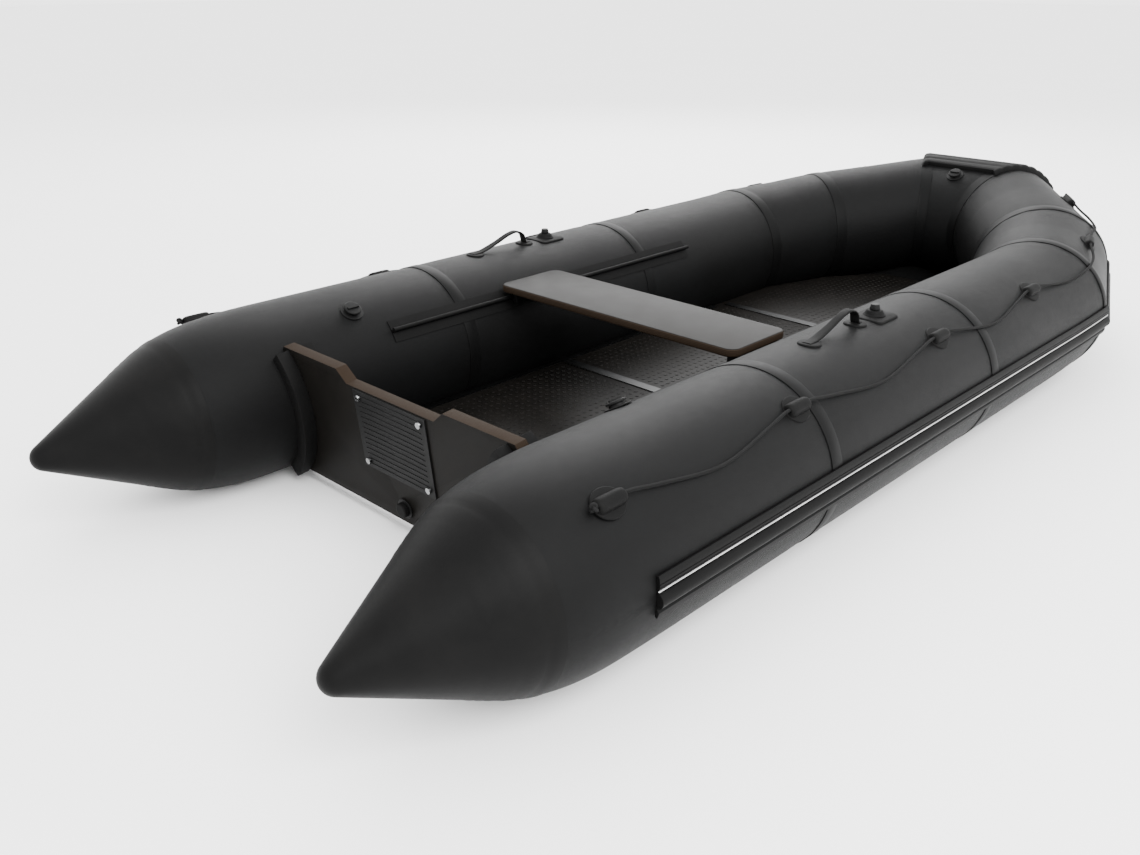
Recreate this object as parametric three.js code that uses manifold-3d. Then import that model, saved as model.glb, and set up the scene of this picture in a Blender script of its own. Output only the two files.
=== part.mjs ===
// Inflatable dinghy with a plywood transom, a sectional plywood floor, one sliding thwart seat,
// lifelines, carry handles and oarlocks.
//
// Millimetres. +X points to the bow, +Y to port, +Z up. While the pieces are made, x = 0 is where
// the side tubes stop being straight aft and z = 0 is the height of their axes. At the very end the
// whole group is moved, so that the origin lies at the bottom centre of the boat's box.

import * as THREE from 'three';
import { mergeVertices } from 'three/addons/utils/BufferGeometryUtils.js';
import Module from 'manifold-3d';

const wasm = await Module();
wasm.setup();

// ---------------------------------------------------------------- driving sizes

const gap = 0.3; // between pieces that touch
const seam = 0.6; // under a strip that follows a round tube

const tubeRadius = 225;
const tubeSpacing = 1206; // between the axes of the two side tubes
const straightLength = 2333; // from the tubes' aft end to the first bow mitre
const bowLength = 737; // from the first bow mitre to the axis of the front panel
const bowRise = 94;
const riseLead = 197; // how far aft of the first mitre the bow starts to rise
const risePower = 1.8;
const tubeSides = 40;

const shoulderLength = 323; // the rounded end of each side tube
const coneLength = 299; // to the middle of its round tip
const coneBaseRadius = 0.846 * tubeRadius;
const coneBreak = 34; // length of the cone's rounded start
const coneBreakRadius = 0.784 * tubeRadius;
const coneTipRadius = 0.146 * tubeRadius;
const coneDrop = 8;
const coneInset = 7;
const baffleThickness = 3;

const strakeHeight = 86;
const strakeStart = 115;

const transomX = 175; // middle of the board, at the height of the tube axes
const transomRake = THREE.MathUtils.degToRad(6);
const transomThickness = 32;
const transomClear = 34; // of its lower edge over the tubes' underside
const transomDrop = 55; // of its top edge under the tubes' top
const motorNotch = 30; // how far the middle of the top edge is cut down
const holderBase = 6;
const holderLip = 34;
const drainRadius = 16;

const floorHeight = 113; // of the boards' tops over the tubes' underside
const floorThickness = 12;
const floorClear = 12; // between the boards and the tubes
const floorStart = 74; // of the first board, ahead of the transom
const boardShare = 0.4127; // of the floor up to the first bow mitre, for each full board
const joinerWeb = 3;
const railThickness = 2.6;
const skinThickness = 3;

const seatX = 1000;
const seatLength = 240; // fore and aft
const seatThickness = 22;
const seatLift = 19; // from the middle of the rail's bead to the seat's underside
const seatRailAngle = 145; // degrees round the tube from its outboard side
const seatRailStart = 470;
const seatRailStop = 376; // aft of where the bow starts to rise
const beadRadius = 6;
const beadHeight = 14;

const ropeRadius = 4;
const ropeSlack = 0.8; // round the rope, inside a fitting
const lifelineAngle = 52;
const tunnelHeight = 12; // of the rope's middle above the tube, inside a fitting
const fittingX = [75, 675, 1330, 1910];
const lastFitting = 235; // aft of the front panel's corner

const handleAft = 940;
const handleForward = 1150;
const handleRise = 44;
const oarlockX = 1245;
const pinRadius = 8;

const valveX = 390;
const valveAngle = 122;
const valveRadius = 22;
const valveDepth = 40;

const ringPatchRadius = 46;
const ringRod = 6;
const ringWidth = 52;
const ringDrop = 42;

// ---------------------------------------------------------------- materials

const finish = (colour, roughness, metalness = 0) =>
  new THREE.MeshStandardMaterial({ color: colour, roughness, metalness });

const tubeFabric = () => finish(0x111214, 0.55);
const darkRubber = () => finish(0x0b0b0c, 0.7);
const ropeFibre = () => finish(0x1a1b1c, 0.9);
const filmFacedPlywood = () => finish(0x1d1815, 0.5);
const anodised = () => finish(0x2c2e31, 0.4, 0.9);
const mouldedPlastic = () => finish(0x131416, 0.5);
const stainless = () => finish(0xb4b7ba, 0.3, 1);

// ---------------------------------------------------------------- shapes

const dinghy = new THREE.Group();

/** Adds one named piece to the boat. */
function piece(name, geometry, material) {
  const mesh = new THREE.Mesh(geometry, material);
  mesh.name = name;
  dinghy.add(mesh);
}

/** Turns a closed mesh the right way out. */
function facingOut(geometry) {
  const p = geometry.attributes.position;
  const index = geometry.index.array;
  const [a, b, c] = [new THREE.Vector3(), new THREE.Vector3(), new THREE.Vector3()];
  let volume = 0;
  for (let i = 0; i < index.length; i += 3) {
    a.fromBufferAttribute(p, index[i]);
    b.fromBufferAttribute(p, index[i + 1]);
    c.fromBufferAttribute(p, index[i + 2]);
    volume += a.dot(b.cross(c));
  }
  if (volume < 0) {
    for (let i = 0; i < index.length; i += 3) {
      [index[i + 1], index[i + 2]] = [index[i + 2], index[i + 1]];
    }
  }
  return geometry;
}

/** Joins rings of points into one closed solid. The outline is the rings' flat pattern. */
function loft(rings, outline) {
  if (THREE.ShapeUtils.isClockWise(outline)) {
    return loft(rings.map((ring) => [...ring].reverse()), [...outline].reverse());
  }
  const count = outline.length;
  const faces = [];
  for (let r = 0; r < rings.length - 1; r++) {
    for (let i = 0; i < count; i++) {
      const a = r * count + i;
      const b = r * count + ((i + 1) % count);
      faces.push(a, b, b + count, a, b + count, a + count);
    }
  }
  const last = (rings.length - 1) * count;
  for (const [a, b, c] of THREE.ShapeUtils.triangulateShape(outline, [])) {
    faces.push(c, b, a, last + a, last + b, last + c);
  }
  const geometry = new THREE.BufferGeometry();
  geometry.setAttribute(
    'position', new THREE.Float32BufferAttribute(rings.flat().flatMap((p) => p.toArray()), 3),
  );
  geometry.setIndex(faces);
  return facingOut(geometry);
}

/** The same piece for the other side of the boat. */
const mirrored = (geometry) => facingOut(geometry.clone().scale(1, -1, 1));

/** Merges shared corners. Every shape passes through here where it is made, before it is moved. */
function welded(geometry) {
  geometry.deleteAttribute('normal');
  geometry.deleteAttribute('uv');
  return mergeVertices(geometry, 1e-3);
}

function solid(geometry) {
  return new wasm.Manifold(new wasm.Mesh({
    numProp: 3,
    vertProperties: new Float32Array(geometry.attributes.position.array),
    triVerts: new Uint32Array(geometry.index.array),
  }));
}

function shell(manifold) {
  const mesh = manifold.getMesh();
  const geometry = new THREE.BufferGeometry();
  geometry.setAttribute('position', new THREE.BufferAttribute(mesh.vertProperties, 3));
  geometry.setIndex(new THREE.BufferAttribute(mesh.triVerts, 1));
  return geometry;
}

const joined = (first, ...others) =>
  shell(others.reduce((sum, other) => sum.add(solid(other)), solid(first)));

const cut = (body, ...tools) =>
  shell(tools.reduce((rest, tool) => rest.subtract(solid(tool)), solid(body)));

/** A box between two corners. */
function block(x0, x1, y0, y1, z0, z1) {
  return welded(new THREE.BoxGeometry(x1 - x0, y1 - y0, z1 - z0))
    .translate((x0 + x1) / 2, (y0 + y1) / 2, (z0 + z1) / 2);
}

/** A round post about Z, which may taper to its top. */
function post(bottomRadius, topRadius, z0, z1, sides = 28) {
  return welded(new THREE.CylinderGeometry(topRadius, bottomRadius, z1 - z0, sides))
    .rotateX(Math.PI / 2)
    .translate(0, 0, (z0 + z1) / 2);
}

/** A round bar along X. */
function barX(radius, x0, x1, y, z, sides = 24) {
  return welded(new THREE.CylinderGeometry(radius, radius, x1 - x0, sides))
    .rotateZ(-Math.PI / 2)
    .translate((x0 + x1) / 2, y, z);
}

/** A turned piece about Z, from a closed profile of [radius, height] points. */
function turned(profile, sides = 20) {
  const points = profile.map(([r, z]) => new THREE.Vector2(r, z));
  return facingOut(welded(new THREE.LatheGeometry([...points, points[0]], sides)))
    .rotateX(Math.PI / 2);
}

/** A flat pattern in X and Y, extruded upwards from z = 0. */
function flat(pattern, thickness, curveSegments = 6) {
  const shape = Array.isArray(pattern) ? new THREE.Shape(pattern) : pattern;
  return welded(new THREE.ExtrudeGeometry(shape, {
    depth: thickness, bevelEnabled: false, curveSegments,
  }));
}

/** A flat pattern in Y and Z, extruded to a thickness along X about x = 0. */
function standing(outline, thickness) {
  const toHull = new THREE.Matrix4().makeBasis(
    new THREE.Vector3(0, 1, 0), new THREE.Vector3(0, 0, 1), new THREE.Vector3(1, 0, 0),
  );
  return flat(outline, thickness).translate(0, 0, -thickness / 2).applyMatrix4(toHull);
}

/** Points on an arc about a centre, from one angle to another, in degrees. */
function arc(radius, from, to, steps, x = 0, y = 0) {
  return Array.from({ length: steps + 1 }, (_, i) => {
    const angle = THREE.MathUtils.degToRad(from + ((to - from) * i) / steps);
    return new THREE.Vector2(x + radius * Math.cos(angle), y + radius * Math.sin(angle));
  });
}

// ---------------------------------------------------------------- the line of the tubes

const half = tubeSpacing / 2;
const bowX = straightLength + bowLength;
const riseStart = straightLength - riseLead;
const floorTop = floorHeight - tubeRadius;
const floorReach = Math.sqrt(tubeRadius ** 2 - floorTop ** 2); // of a tube, at the floor's height
const transomBottom = transomClear - tubeRadius;
const transomTop = tubeRadius - transomDrop;

/** Corners of the tube axis seen from above, from the port stern round to the starboard stern. */
const portLine = [
  new THREE.Vector2(0, half),
  new THREE.Vector2(straightLength, half),
  new THREE.Vector2(straightLength + 0.505 * bowLength, 0.783 * half),
  new THREE.Vector2(bowX, 0.29 * half),
];
const hullLine = [
  ...portLine,
  ...portLine.map((p) => new THREE.Vector2(p.x, -p.y)).reverse(),
];
const frontLeg = 3;

/** Where the rising tube's straight panels meet, and how high its axis is there. */
const riseStops = [
  riseStart, riseStart + 0.5 * riseLead, straightLength,
  ...portLine.slice(2).flatMap((p, i) => [(portLine[i + 1].x + p.x) / 2, p.x]),
].map((x) => ({ x, z: bowRise * ((x - riseStart) / (bowX - riseStart)) ** risePower }));

/** Height of the tube axis at a distance forward. */
function rise(x) {
  if (x <= riseStart) return 0;
  const found = riseStops.findIndex((s) => s.x >= x);
  const next = found < 1 ? riseStops.length - 1 : found;
  const [a, b] = [riseStops[next - 1], riseStops[next]];
  return a.z + ((b.z - a.z) * (x - a.x)) / (b.x - a.x);
}

/** Climb of the axis along a leg, per millimetre of run. */
const climb = (leg, x) => ((rise(x + 1) - rise(x - 1)) / 2) * direction(leg).x;

const direction = (leg) => hullLine[leg + 1].clone().sub(hullLine[leg]).normalize();
const outward = (leg) => new THREE.Vector2(-direction(leg).y, direction(leg).x);
const legLength = (leg) => hullLine[leg].distanceTo(hullLine[leg + 1]);

/** A stop on a leg: where its section stands and which way is outboard. */
function stop(leg, along) {
  return { at: hullLine[leg].clone().addScaledVector(direction(leg), along), out: outward(leg) };
}

/** The mitred stop at a corner, moved by a distance along the leg before or after it. */
function mitre(corner, shift = 0) {
  const [before, after] = [outward(corner - 1), outward(corner)];
  const out = before.clone().add(after).divideScalar(1 + before.dot(after));
  const leg = shift < 0 ? corner - 1 : corner;
  return { at: hullLine[corner].clone().addScaledVector(direction(leg), shift), out };
}

/** Sweeps a flat section of [outboard, up] points through stops along the line. */
function sweep(section, stops) {
  const rings = stops.map(({ at, out }) => section.map((p) => new THREE.Vector3(
    at.x + out.x * p.x, at.y + out.y * p.x, rise(at.x) + p.y,
  )));
  return loft(rings, section);
}

/** The frame of a tube's section: forward along the climbing axis, then at an angle round it. */
function tubeFrame(leg, along, angle) {
  const { at, out } = stop(leg, along);
  const turn = THREE.MathUtils.degToRad(angle);
  const run = direction(leg);
  const forward = new THREE.Vector3(run.x, run.y, climb(leg, at.x)).normalize();
  const side = new THREE.Vector3(out.x, out.y, 0);
  const radial = side.clone().multiplyScalar(Math.cos(turn))
    .addScaledVector(forward.clone().cross(side), Math.sin(turn));
  const centre = new THREE.Vector3(at.x, at.y, rise(at.x));
  return { forward, radial, centre };
}

/** Turns a piece made round a tube's axis (X along it, Z outwards at 0) to its place there. */
function onTube(geometry, leg, along, angle) {
  const { forward, radial, centre } = tubeFrame(leg, along, angle);
  const frame = new THREE.Matrix4().makeBasis(forward, radial.clone().cross(forward), radial);
  return geometry.applyMatrix4(frame.setPosition(centre));
}

/** A point outside the tube, for what runs along it. */
function pointOnTube(leg, along, angle, lift) {
  const { radial, centre } = tubeFrame(leg, along, angle);
  return centre.addScaledVector(radial, tubeRadius + lift);
}

// ---------------------------------------------------------------- air chambers and stern cones

const circle = (radius) => arc(radius, 0, 360, tubeSides).slice(0, tubeSides);

const shoulderEnd = 205;
const shoulderAft = shoulderEnd - shoulderLength;
const coneTipX = shoulderAft - coneLength;

/** A ring of the stern, whose axis drops and moves inboard towards the cone's tip. */
function sternRing(x, radius, margin = 0) {
  const share = (shoulderEnd - x) / (shoulderEnd - coneTipX);
  const drop = Math.min(coneDrop * share, tubeRadius - radius);
  return circle(radius + margin).map((p) => new THREE.Vector3(
    x, half - coneInset * share + p.x, p.y - drop,
  ));
}

/** The side tube, grown all over by a margin, so that it can also cut what sits on it. */
function sideTube(margin) {
  const shoulder = Array.from({ length: 7 }, (_, i) => {
    const t = i / 6;
    const x = shoulderAft + shoulderLength * t ** 1.6;
    const swell = 1 - (1 - (x - shoulderAft) / shoulderLength) ** 3.57;
    return sternRing(x, coneBaseRadius + (tubeRadius - coneBaseRadius) * swell, margin);
  });
  const section = circle(tubeRadius + margin);
  const stops = [
    ...[riseStart, riseStart + 0.5 * riseLead].map((x) => stop(0, x)),
    mitre(1, -(baffleThickness / 2 + gap)),
  ];
  const straight = stops.map(({ at, out }) => section.map((p) => new THREE.Vector3(
    at.x + out.x * p.x, at.y + out.y * p.x, rise(at.x) + p.y,
  )));
  return loft([...shoulder, ...straight], section);
}

/** The bow chamber: five mitred panels in one air space. */
function bowTube(margin) {
  const reach = baffleThickness / 2 + gap;
  const stops = [
    mitre(1, reach), stop(1, 0.5 * legLength(1)), mitre(2), stop(2, 0.5 * legLength(2)), mitre(3),
    mitre(4), stop(4, 0.5 * legLength(4)), mitre(5), stop(5, 0.5 * legLength(5)), mitre(6, -reach),
  ];
  return sweep(circle(tubeRadius + margin), stops);
}

/** The pocket in a tube that a valve's barrel hangs in. */
const valvePocket = () =>
  post(valveRadius + gap, valveRadius + gap, tubeRadius - valveDepth - gap, tubeRadius + 10);

const frontMiddle = legLength(frontLeg) / 2;

const portTube = cut(sideTube(0), onTube(valvePocket(), 0, valveX, valveAngle));
piece('port_tube', portTube, tubeFabric());
piece('starboard_tube', mirrored(portTube), tubeFabric());
piece('bow_tube',
  cut(bowTube(0), onTube(valvePocket(), frontLeg, frontMiddle, valveAngle)), tubeFabric());

const baffle = sweep(circle(tubeRadius - 2), [
  mitre(1, -baffleThickness / 2), mitre(1, baffleThickness / 2),
]);
piece('port_baffle', baffle, tubeFabric());
piece('starboard_baffle', mirrored(baffle), tubeFabric());

const coneRings = [
  sternRing(shoulderAft - gap, coneBaseRadius), sternRing(shoulderAft - coneBreak, coneBreakRadius),
];
for (const turn of [28, 46, 64, 82]) {
  const angle = THREE.MathUtils.degToRad(turn);
  coneRings.push(sternRing(
    coneTipX - coneTipRadius * Math.sin(angle), coneTipRadius * Math.cos(angle),
  ));
}
const cone = loft(coneRings.reverse(), circle(1));
piece('port_stern_cone', cone, darkRubber());
piece('starboard_stern_cone', mirrored(cone), darkRubber());

// ---------------------------------------------------------------- rub strake and bow pad

/** Section of the rub strake: a base that follows the tube, with one fender ridge. */
const ridgeRadius = 17;
const strakeReach = THREE.MathUtils.radToDeg(Math.asin(strakeHeight / 2 / tubeRadius));
const strakeSection = [
  ...arc(tubeRadius + seam, strakeReach, -strakeReach, 6),
  new THREE.Vector2(tubeRadius + 1, -strakeHeight / 2 - 2),
  new THREE.Vector2(tubeRadius + 6, -0.4 * strakeHeight),
  ...arc(ridgeRadius, -80, 80, 6, tubeRadius - 1, -8),
  new THREE.Vector2(tubeRadius + 6, 0.4 * strakeHeight),
  new THREE.Vector2(tubeRadius + 1, strakeHeight / 2 + 2),
];
const sideStrake = sweep(strakeSection, [
  stop(0, strakeStart), stop(0, riseStart), stop(0, riseStart + 0.5 * riseLead),
  mitre(1, -gap / 2),
]);
piece('port_strake', sideStrake, darkRubber());
piece('starboard_strake', mirrored(sideStrake), darkRubber());
piece('bow_strake', sweep(strakeSection, [
  mitre(1, gap / 2), stop(1, 0.5 * legLength(1)), mitre(2), stop(2, 0.5 * legLength(2)), mitre(3),
  mitre(4), stop(4, 0.5 * legLength(4)), mitre(5), stop(5, 0.5 * legLength(5)),
  mitre(6, -gap / 2),
]), darkRubber());

/** Ribbed rubber pad over the top of the front panel, wrapped on to its neighbours. */
const bowClear = bowTube(gap);
const padThickness = 17;
const padSection = [
  ...arc(tubeRadius + seam, 112, 32, 12),
  ...arc(tubeRadius + padThickness, 32, 112, 12),
];
const padWrap = 26;
piece('bow_pad', cut(sweep(padSection, [
  mitre(frontLeg, -padWrap), mitre(frontLeg), mitre(frontLeg + 1), mitre(frontLeg + 1, padWrap),
]), bowClear), darkRubber());

// ---------------------------------------------------------------- transom

const raked = (geometry) => geometry.rotateY(-transomRake).translate(transomX, 0, 0);
const tubeClear = sideTube(gap);
const bothTubes = [tubeClear, mirrored(tubeClear)];

const drainAt = new THREE.Vector2(0, transomBottom + 43);
const boardEdge = tubeRadius + holderBase + gap;
const boardSide = half - 0.44 * tubeRadius; // the edge's arc cuts this back to the tube
const shoulderSide = half - 0.78 * tubeRadius;
const shoulderFoot = 0.27 * tubeRadius;
const notchSide = 0.33 * half;
const boardHalf = [
  [boardSide, transomBottom], [boardSide, shoulderFoot], [shoulderSide, transomTop],
  [notchSide, transomTop], [notchSide - 35, transomTop - motorNotch],
].map(([y, z]) => new THREE.Vector2(y, z));
const boardOutline = [
  ...boardHalf, ...boardHalf.map((p) => new THREE.Vector2(-p.x, p.y)).reverse(),
];
const edgeBar = (side) => barX(boardEdge, -200, 200, side * half, 0, 64);
const drainHole = barX(drainRadius + gap, -50, 50, drainAt.x, drainAt.y, 28);
piece('transom_board', raked(cut(
  standing(boardOutline, transomThickness), edgeBar(1), edgeBar(-1), drainHole,
)), filmFacedPlywood());

/** Rubber holder glued to a tube, with two lips that grip the board's edge. */
function transomHolder() {
  const band = (inner, outer, from, to, thickness) => standing([
    ...arc(outer, 180 - from, 180 - to, 16, half, 0),
    ...arc(inner, 180 - to, 180 - from, 16, half, 0),
  ], thickness);
  const blank = band(tubeRadius - 14, tubeRadius + holderLip, -50, 40, 104);
  const slot = band(
    tubeRadius + holderBase, tubeRadius + 2 * holderLip, -60, 60, transomThickness + 2 * gap,
  );
  return cut(raked(cut(blank, slot)), tubeClear);
}
const holder = transomHolder();
piece('port_transom_holder', holder, darkRubber());
piece('starboard_transom_holder', mirrored(holder), darkRubber());

const face = transomThickness / 2 + gap;
const plateTop = transomTop - motorNotch - 4;
piece('outer_motor_plate', raked(block(-face - 4, -face, -135, 135, -70, plateTop)),
  mouldedPlastic());
piece('inner_motor_plate', raked(block(face, face + 3, -115, 115, 10, plateTop)), anodised());

/** A piece turned about the drain's axis, with heights measured forward through the board. */
const onDrain = (geometry) =>
  raked(geometry.rotateY(Math.PI / 2).translate(0, drainAt.x, drainAt.y));
const boreRadius = drainRadius - 4;
piece('drain_bush', onDrain(turned([
  [boreRadius, -face - 4], [26, -face - 4], [26, -face], [drainRadius, -face],
  [drainRadius, face], [boreRadius, face],
])), mouldedPlastic());
piece('drain_plug', onDrain(turned([
  [0, -face - 18], [16, -face - 18], [19, -face - 15], [19, -face - 4 - gap],
  [boreRadius - gap, -face - 4 - gap], [boreRadius - gap, face - 6], [0, face - 6],
])), darkRubber());

// ---------------------------------------------------------------- bottom skin and keel

/** How the tube axis lies at a distance forward: its distance off and its slant. */
function axisAt(x) {
  const leg = x < portLine[1].x ? 0 : x < portLine[2].x ? 1 : 2;
  const run = portLine[leg + 1].clone().sub(portLine[leg]);
  const y = portLine[leg].y + (run.y * (x - portLine[leg].x)) / run.x;
  return { y, slant: Math.hypot(run.x, run.y) / run.x };
}

/** Outer half of the skin at a distance forward, from its glued edge to the keel line. */
function skinHalf(x) {
  const { y, slant } = axisAt(x);
  const reach = tubeRadius + seam;
  return [70, 60].map((degrees) => {
    const angle = THREE.MathUtils.degToRad(degrees);
    const lead = reach * Math.cos(angle) * Math.sqrt(1 - 1 / slant ** 2);
    return new THREE.Vector2(
      y - slant * reach * Math.cos(angle),
      rise(x + lead) - reach * Math.sin(angle) - skinThickness,
    );
  });
}

const skinStart = transomX + 60;
const skinStations = [
  ...[0, 0.19, 0.51, 0.82].map((share) => skinStart + share * (riseStart - skinStart)),
  riseStart, straightLength,
  ...[0.254, 0.505, 0.701, 0.837].map((share) => straightLength + share * bowLength),
];
const skinDrop = [28, 20, 13, 11, 11, 16, 25, 42, 70, 103]; // above the tube's underside
const keelDepth = skinDrop.map((drop) => drop - tubeRadius);

function skinRing(x, depth) {
  const [edge, bend] = skinHalf(x);
  const top = [edge, bend, new THREE.Vector2(0, depth)];
  const upper = [...top, ...[bend, edge].map((p) => new THREE.Vector2(-p.x, p.y))];
  const lower = upper.map((p) => new THREE.Vector2(p.x, p.y - skinThickness)).reverse();
  return [...upper, ...lower].map((p) => new THREE.Vector3(x, p.x, p.y));
}
const skinOutline = skinRing(skinStations[1], keelDepth[1]).map((p) => new THREE.Vector2(p.y, p.z));

/** The skin's front edge is almost level, close under the front panel. */
const skinFrontLead = 0.34 * tubeRadius; // from the front panel's axis back to the edge
const skinFrontX = straightLength + bowLength - skinFrontLead;
const skinFrontClear = 1.6;
const skinFrontDepth = bowRise - Math.sqrt(tubeRadius ** 2 - skinFrontLead ** 2) - skinFrontClear;
const skinFrontSag = [1.2, 0.5, 0, 0.5, 1.2];
const skinFront = skinRing(skinFrontX, skinFrontDepth).map((p, i) => new THREE.Vector3(
  p.x, p.y, skinFrontDepth - skinFrontSag[i % 5] - (i < 5 ? 0 : skinThickness),
));
piece('bottom_skin', loft([
  skinFront, ...skinStations.map((x, i) => skinRing(x, keelDepth[i])).reverse(),
], skinOutline), tubeFabric());

/** The keel tube lies between the floor and the skin, and tapers to both ends. */
const keelClear = 5; // between the keel and the joiners under the floor
const keelTop = floorTop - floorThickness - keelClear;
const keelFill = [0.35, 0.85, 1, 1, 1, 1, 0.9, 0.4]; // share of the room over the skin
const keelHalfWidth = [70, 105, 115, 115, 112, 100, 80, 45];
const keelOutline = arc(1, 0, 360, 20).slice(0, 20);
const keelRings = keelFill.map((fill, i) => {
  const bottom = keelDepth[i] + 6;
  const height = (keelTop - keelDepth[i]) * fill - 8;
  const x = Math.max(skinStations[i], skinStart + 40);
  return keelOutline.map((p) => new THREE.Vector3(
    x, p.x * keelHalfWidth[i], bottom + (height * (1 + p.y)) / 2,
  ));
});
piece('inflatable_keel', loft(keelRings, keelOutline), tubeFabric());

// ---------------------------------------------------------------- floor

const floorHalfWidth = half - floorReach - floorClear;
const floorAft = transomX + floorStart;
const floorBottom = floorTop - floorThickness;
const boardLength = Math.round(boardShare * (straightLength - floorAft));
const joint1 = floorAft + boardLength;
const joint2 = joint1 + boardLength + joinerWeb + 2 * gap;
const bowBoardAft = joint2 + joinerWeb + 2 * gap;

const board = (x0, x1) =>
  block(x0, x1, -floorHalfWidth, floorHalfWidth, floorBottom, floorTop);
piece('floorboard_1', board(floorAft, joint1), filmFacedPlywood());
piece('floorboard_2', board(joint1 + joinerWeb + 2 * gap, joint2), filmFacedPlywood());

/** The bow board keeps clear of the mitred bow tube by following its inner side. */
function bowBoard() {
  const inside = floorReach + 8;
  const inner = (leg, along) => stop(leg, along).at.addScaledVector(outward(leg), -inside);
  const rim = [
    new THREE.Vector2(bowBoardAft, floorHalfWidth),
    new THREE.Vector2(straightLength - 60, floorHalfWidth),
    inner(1, 0.78 * legLength(1)),
    inner(2, 0.3 * legLength(2)),
    inner(2, 0.52 * legLength(2)),
  ];
  const outline = [...rim, ...rim.map((p) => new THREE.Vector2(p.x, -p.y)).reverse()];
  return flat(outline, floorThickness).translate(0, 0, floorBottom);
}
piece('bow_board', bowBoard(), filmFacedPlywood());

/** H section between two boards: one web and two flanges. */
const stringerFlange = 22;
const joinerHalf = floorHalfWidth - stringerFlange - 2;
function joiner(x) {
  const web = x + gap;
  const middle = web + joinerWeb / 2;
  const [low, high] = [floorBottom - gap, floorTop + gap];
  return joined(
    block(web, web + joinerWeb, -joinerHalf, joinerHalf, low - railThickness, high + railThickness),
    block(middle - 17, middle + 17, -joinerHalf, joinerHalf, high, high + railThickness),
    block(middle - 17, middle + 17, -joinerHalf, joinerHalf, low - railThickness, low),
  );
}
piece('floor_joiner_1', joiner(joint1), anodised());
piece('floor_joiner_2', joiner(joint2), anodised());

/** U section along the edges of the boards. */
function stringer() {
  const [x0, x1] = [floorAft + 60, joint2 - 60];
  const inner = floorHalfWidth - stringerFlange;
  const web = floorHalfWidth + gap;
  const [low, high] = [floorBottom - gap, floorTop + gap];
  return joined(
    block(x0, x1, web, web + railThickness, low - railThickness, high + railThickness),
    block(x0, x1, inner, web + 1, high, high + railThickness),
    block(x0, x1, inner, web + 1, low - railThickness, low),
  );
}
const portStringer = stringer();
piece('port_stringer', portStringer, anodised());
piece('starboard_stringer', mirrored(portStringer), anodised());

// ---------------------------------------------------------------- seat and its rails

/** Rail glued to a tube: a base that follows the tube, a neck and a round bead. */
const railBase = arc(tubeRadius + seam, seatRailAngle - 8, seatRailAngle + 8, 6);
const beadAt = arc(tubeRadius + beadHeight, seatRailAngle, 0, 1)[0];
const beadTurn = seatRailAngle + 180;
const railSection = [
  ...railBase,
  ...arc(tubeRadius + 4, seatRailAngle + 8, seatRailAngle + 0.7, 3),
  ...arc(beadRadius, beadTurn - 30, beadTurn - 330, 12, beadAt.x, beadAt.y),
  ...arc(tubeRadius + 4, seatRailAngle - 0.7, seatRailAngle - 8, 3),
];
const rail = sweep(railSection, [stop(0, seatRailStart), stop(0, riseStart - seatRailStop)]);
piece('port_seat_rail', rail, darkRubber());
piece('starboard_seat_rail', mirrored(rail), darkRubber());

const seatBottom = beadAt.y + seatLift;
const seatHalfWidth = half - Math.sqrt((tubeRadius + 8) ** 2 - seatBottom ** 2);
const seatOutline = new THREE.Shape();
const corner = 30;
const [sx, sy] = [seatLength / 2, seatHalfWidth];
seatOutline.moveTo(-sx + corner, -sy);
seatOutline.lineTo(sx - corner, -sy);
seatOutline.absarc(sx - corner, -sy + corner, corner, -Math.PI / 2, 0);
seatOutline.absarc(sx - corner, sy - corner, corner, 0, Math.PI / 2);
seatOutline.absarc(-sx + corner, sy - corner, corner, Math.PI / 2, Math.PI);
seatOutline.absarc(-sx + corner, -sy + corner, corner, Math.PI, 1.5 * Math.PI);
piece('seat_board', flat(seatOutline, seatThickness).translate(seatX, 0, seatBottom),
  filmFacedPlywood());

/** Plastic clip under the seat's end, sprung over the rail's bead. */
function seatClip() {
  const [x0, x1] = [seatX - 0.36 * seatLength, seatX + 0.36 * seatLength];
  const bead = [half + beadAt.x, beadAt.y];
  const slack = 0.8;
  const body = block(x0, x1, bead[0] - 20, bead[0] + 34, bead[1] - 16, seatBottom - gap);
  const neck = standing([
    ...arc(tubeRadius - 20, seatRailAngle + 1.6, seatRailAngle - 1.6, 2, half, 0),
    ...arc(tubeRadius + beadHeight, seatRailAngle - 1.1, seatRailAngle + 1.1, 2, half, 0),
  ], 2 * seatLength).translate(seatX, 0, 0);
  const base = barX(tubeRadius + 4 + slack, x0 - 10, x1 + 10, half, 0, 96);
  const bore = barX(beadRadius + slack, x0 - 10, x1 + 10, bead[0], bead[1], 20);
  return cut(body, base, neck, bore);
}
const clip = seatClip();
piece('port_seat_clip', clip, mouldedPlastic());
piece('starboard_seat_clip', mirrored(clip), mouldedPlastic());

// ---------------------------------------------------------------- lifelines and their fittings

/** Rubber patch with a raised block, which the rope's tunnel is cut through. */
function ropeFitting() {
  const crown = tunnelHeight + ropeRadius + 6;
  const base = post(34, 34, tubeRadius - 14, tubeRadius + 4, 20).scale(1.2, 1, 1);
  const humpWidth = 17;
  const hump = standing([
    new THREE.Vector2(-humpWidth, -12),
    new THREE.Vector2(humpWidth, -12),
    new THREE.Vector2(humpWidth, 6),
    ...arc(humpWidth - 4, 20, 160, 6, 0, crown - humpWidth + 4),
    new THREE.Vector2(-humpWidth, 6),
  ], 74).translate(0, 0, tubeRadius);
  return joined(base, hump);
}

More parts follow.
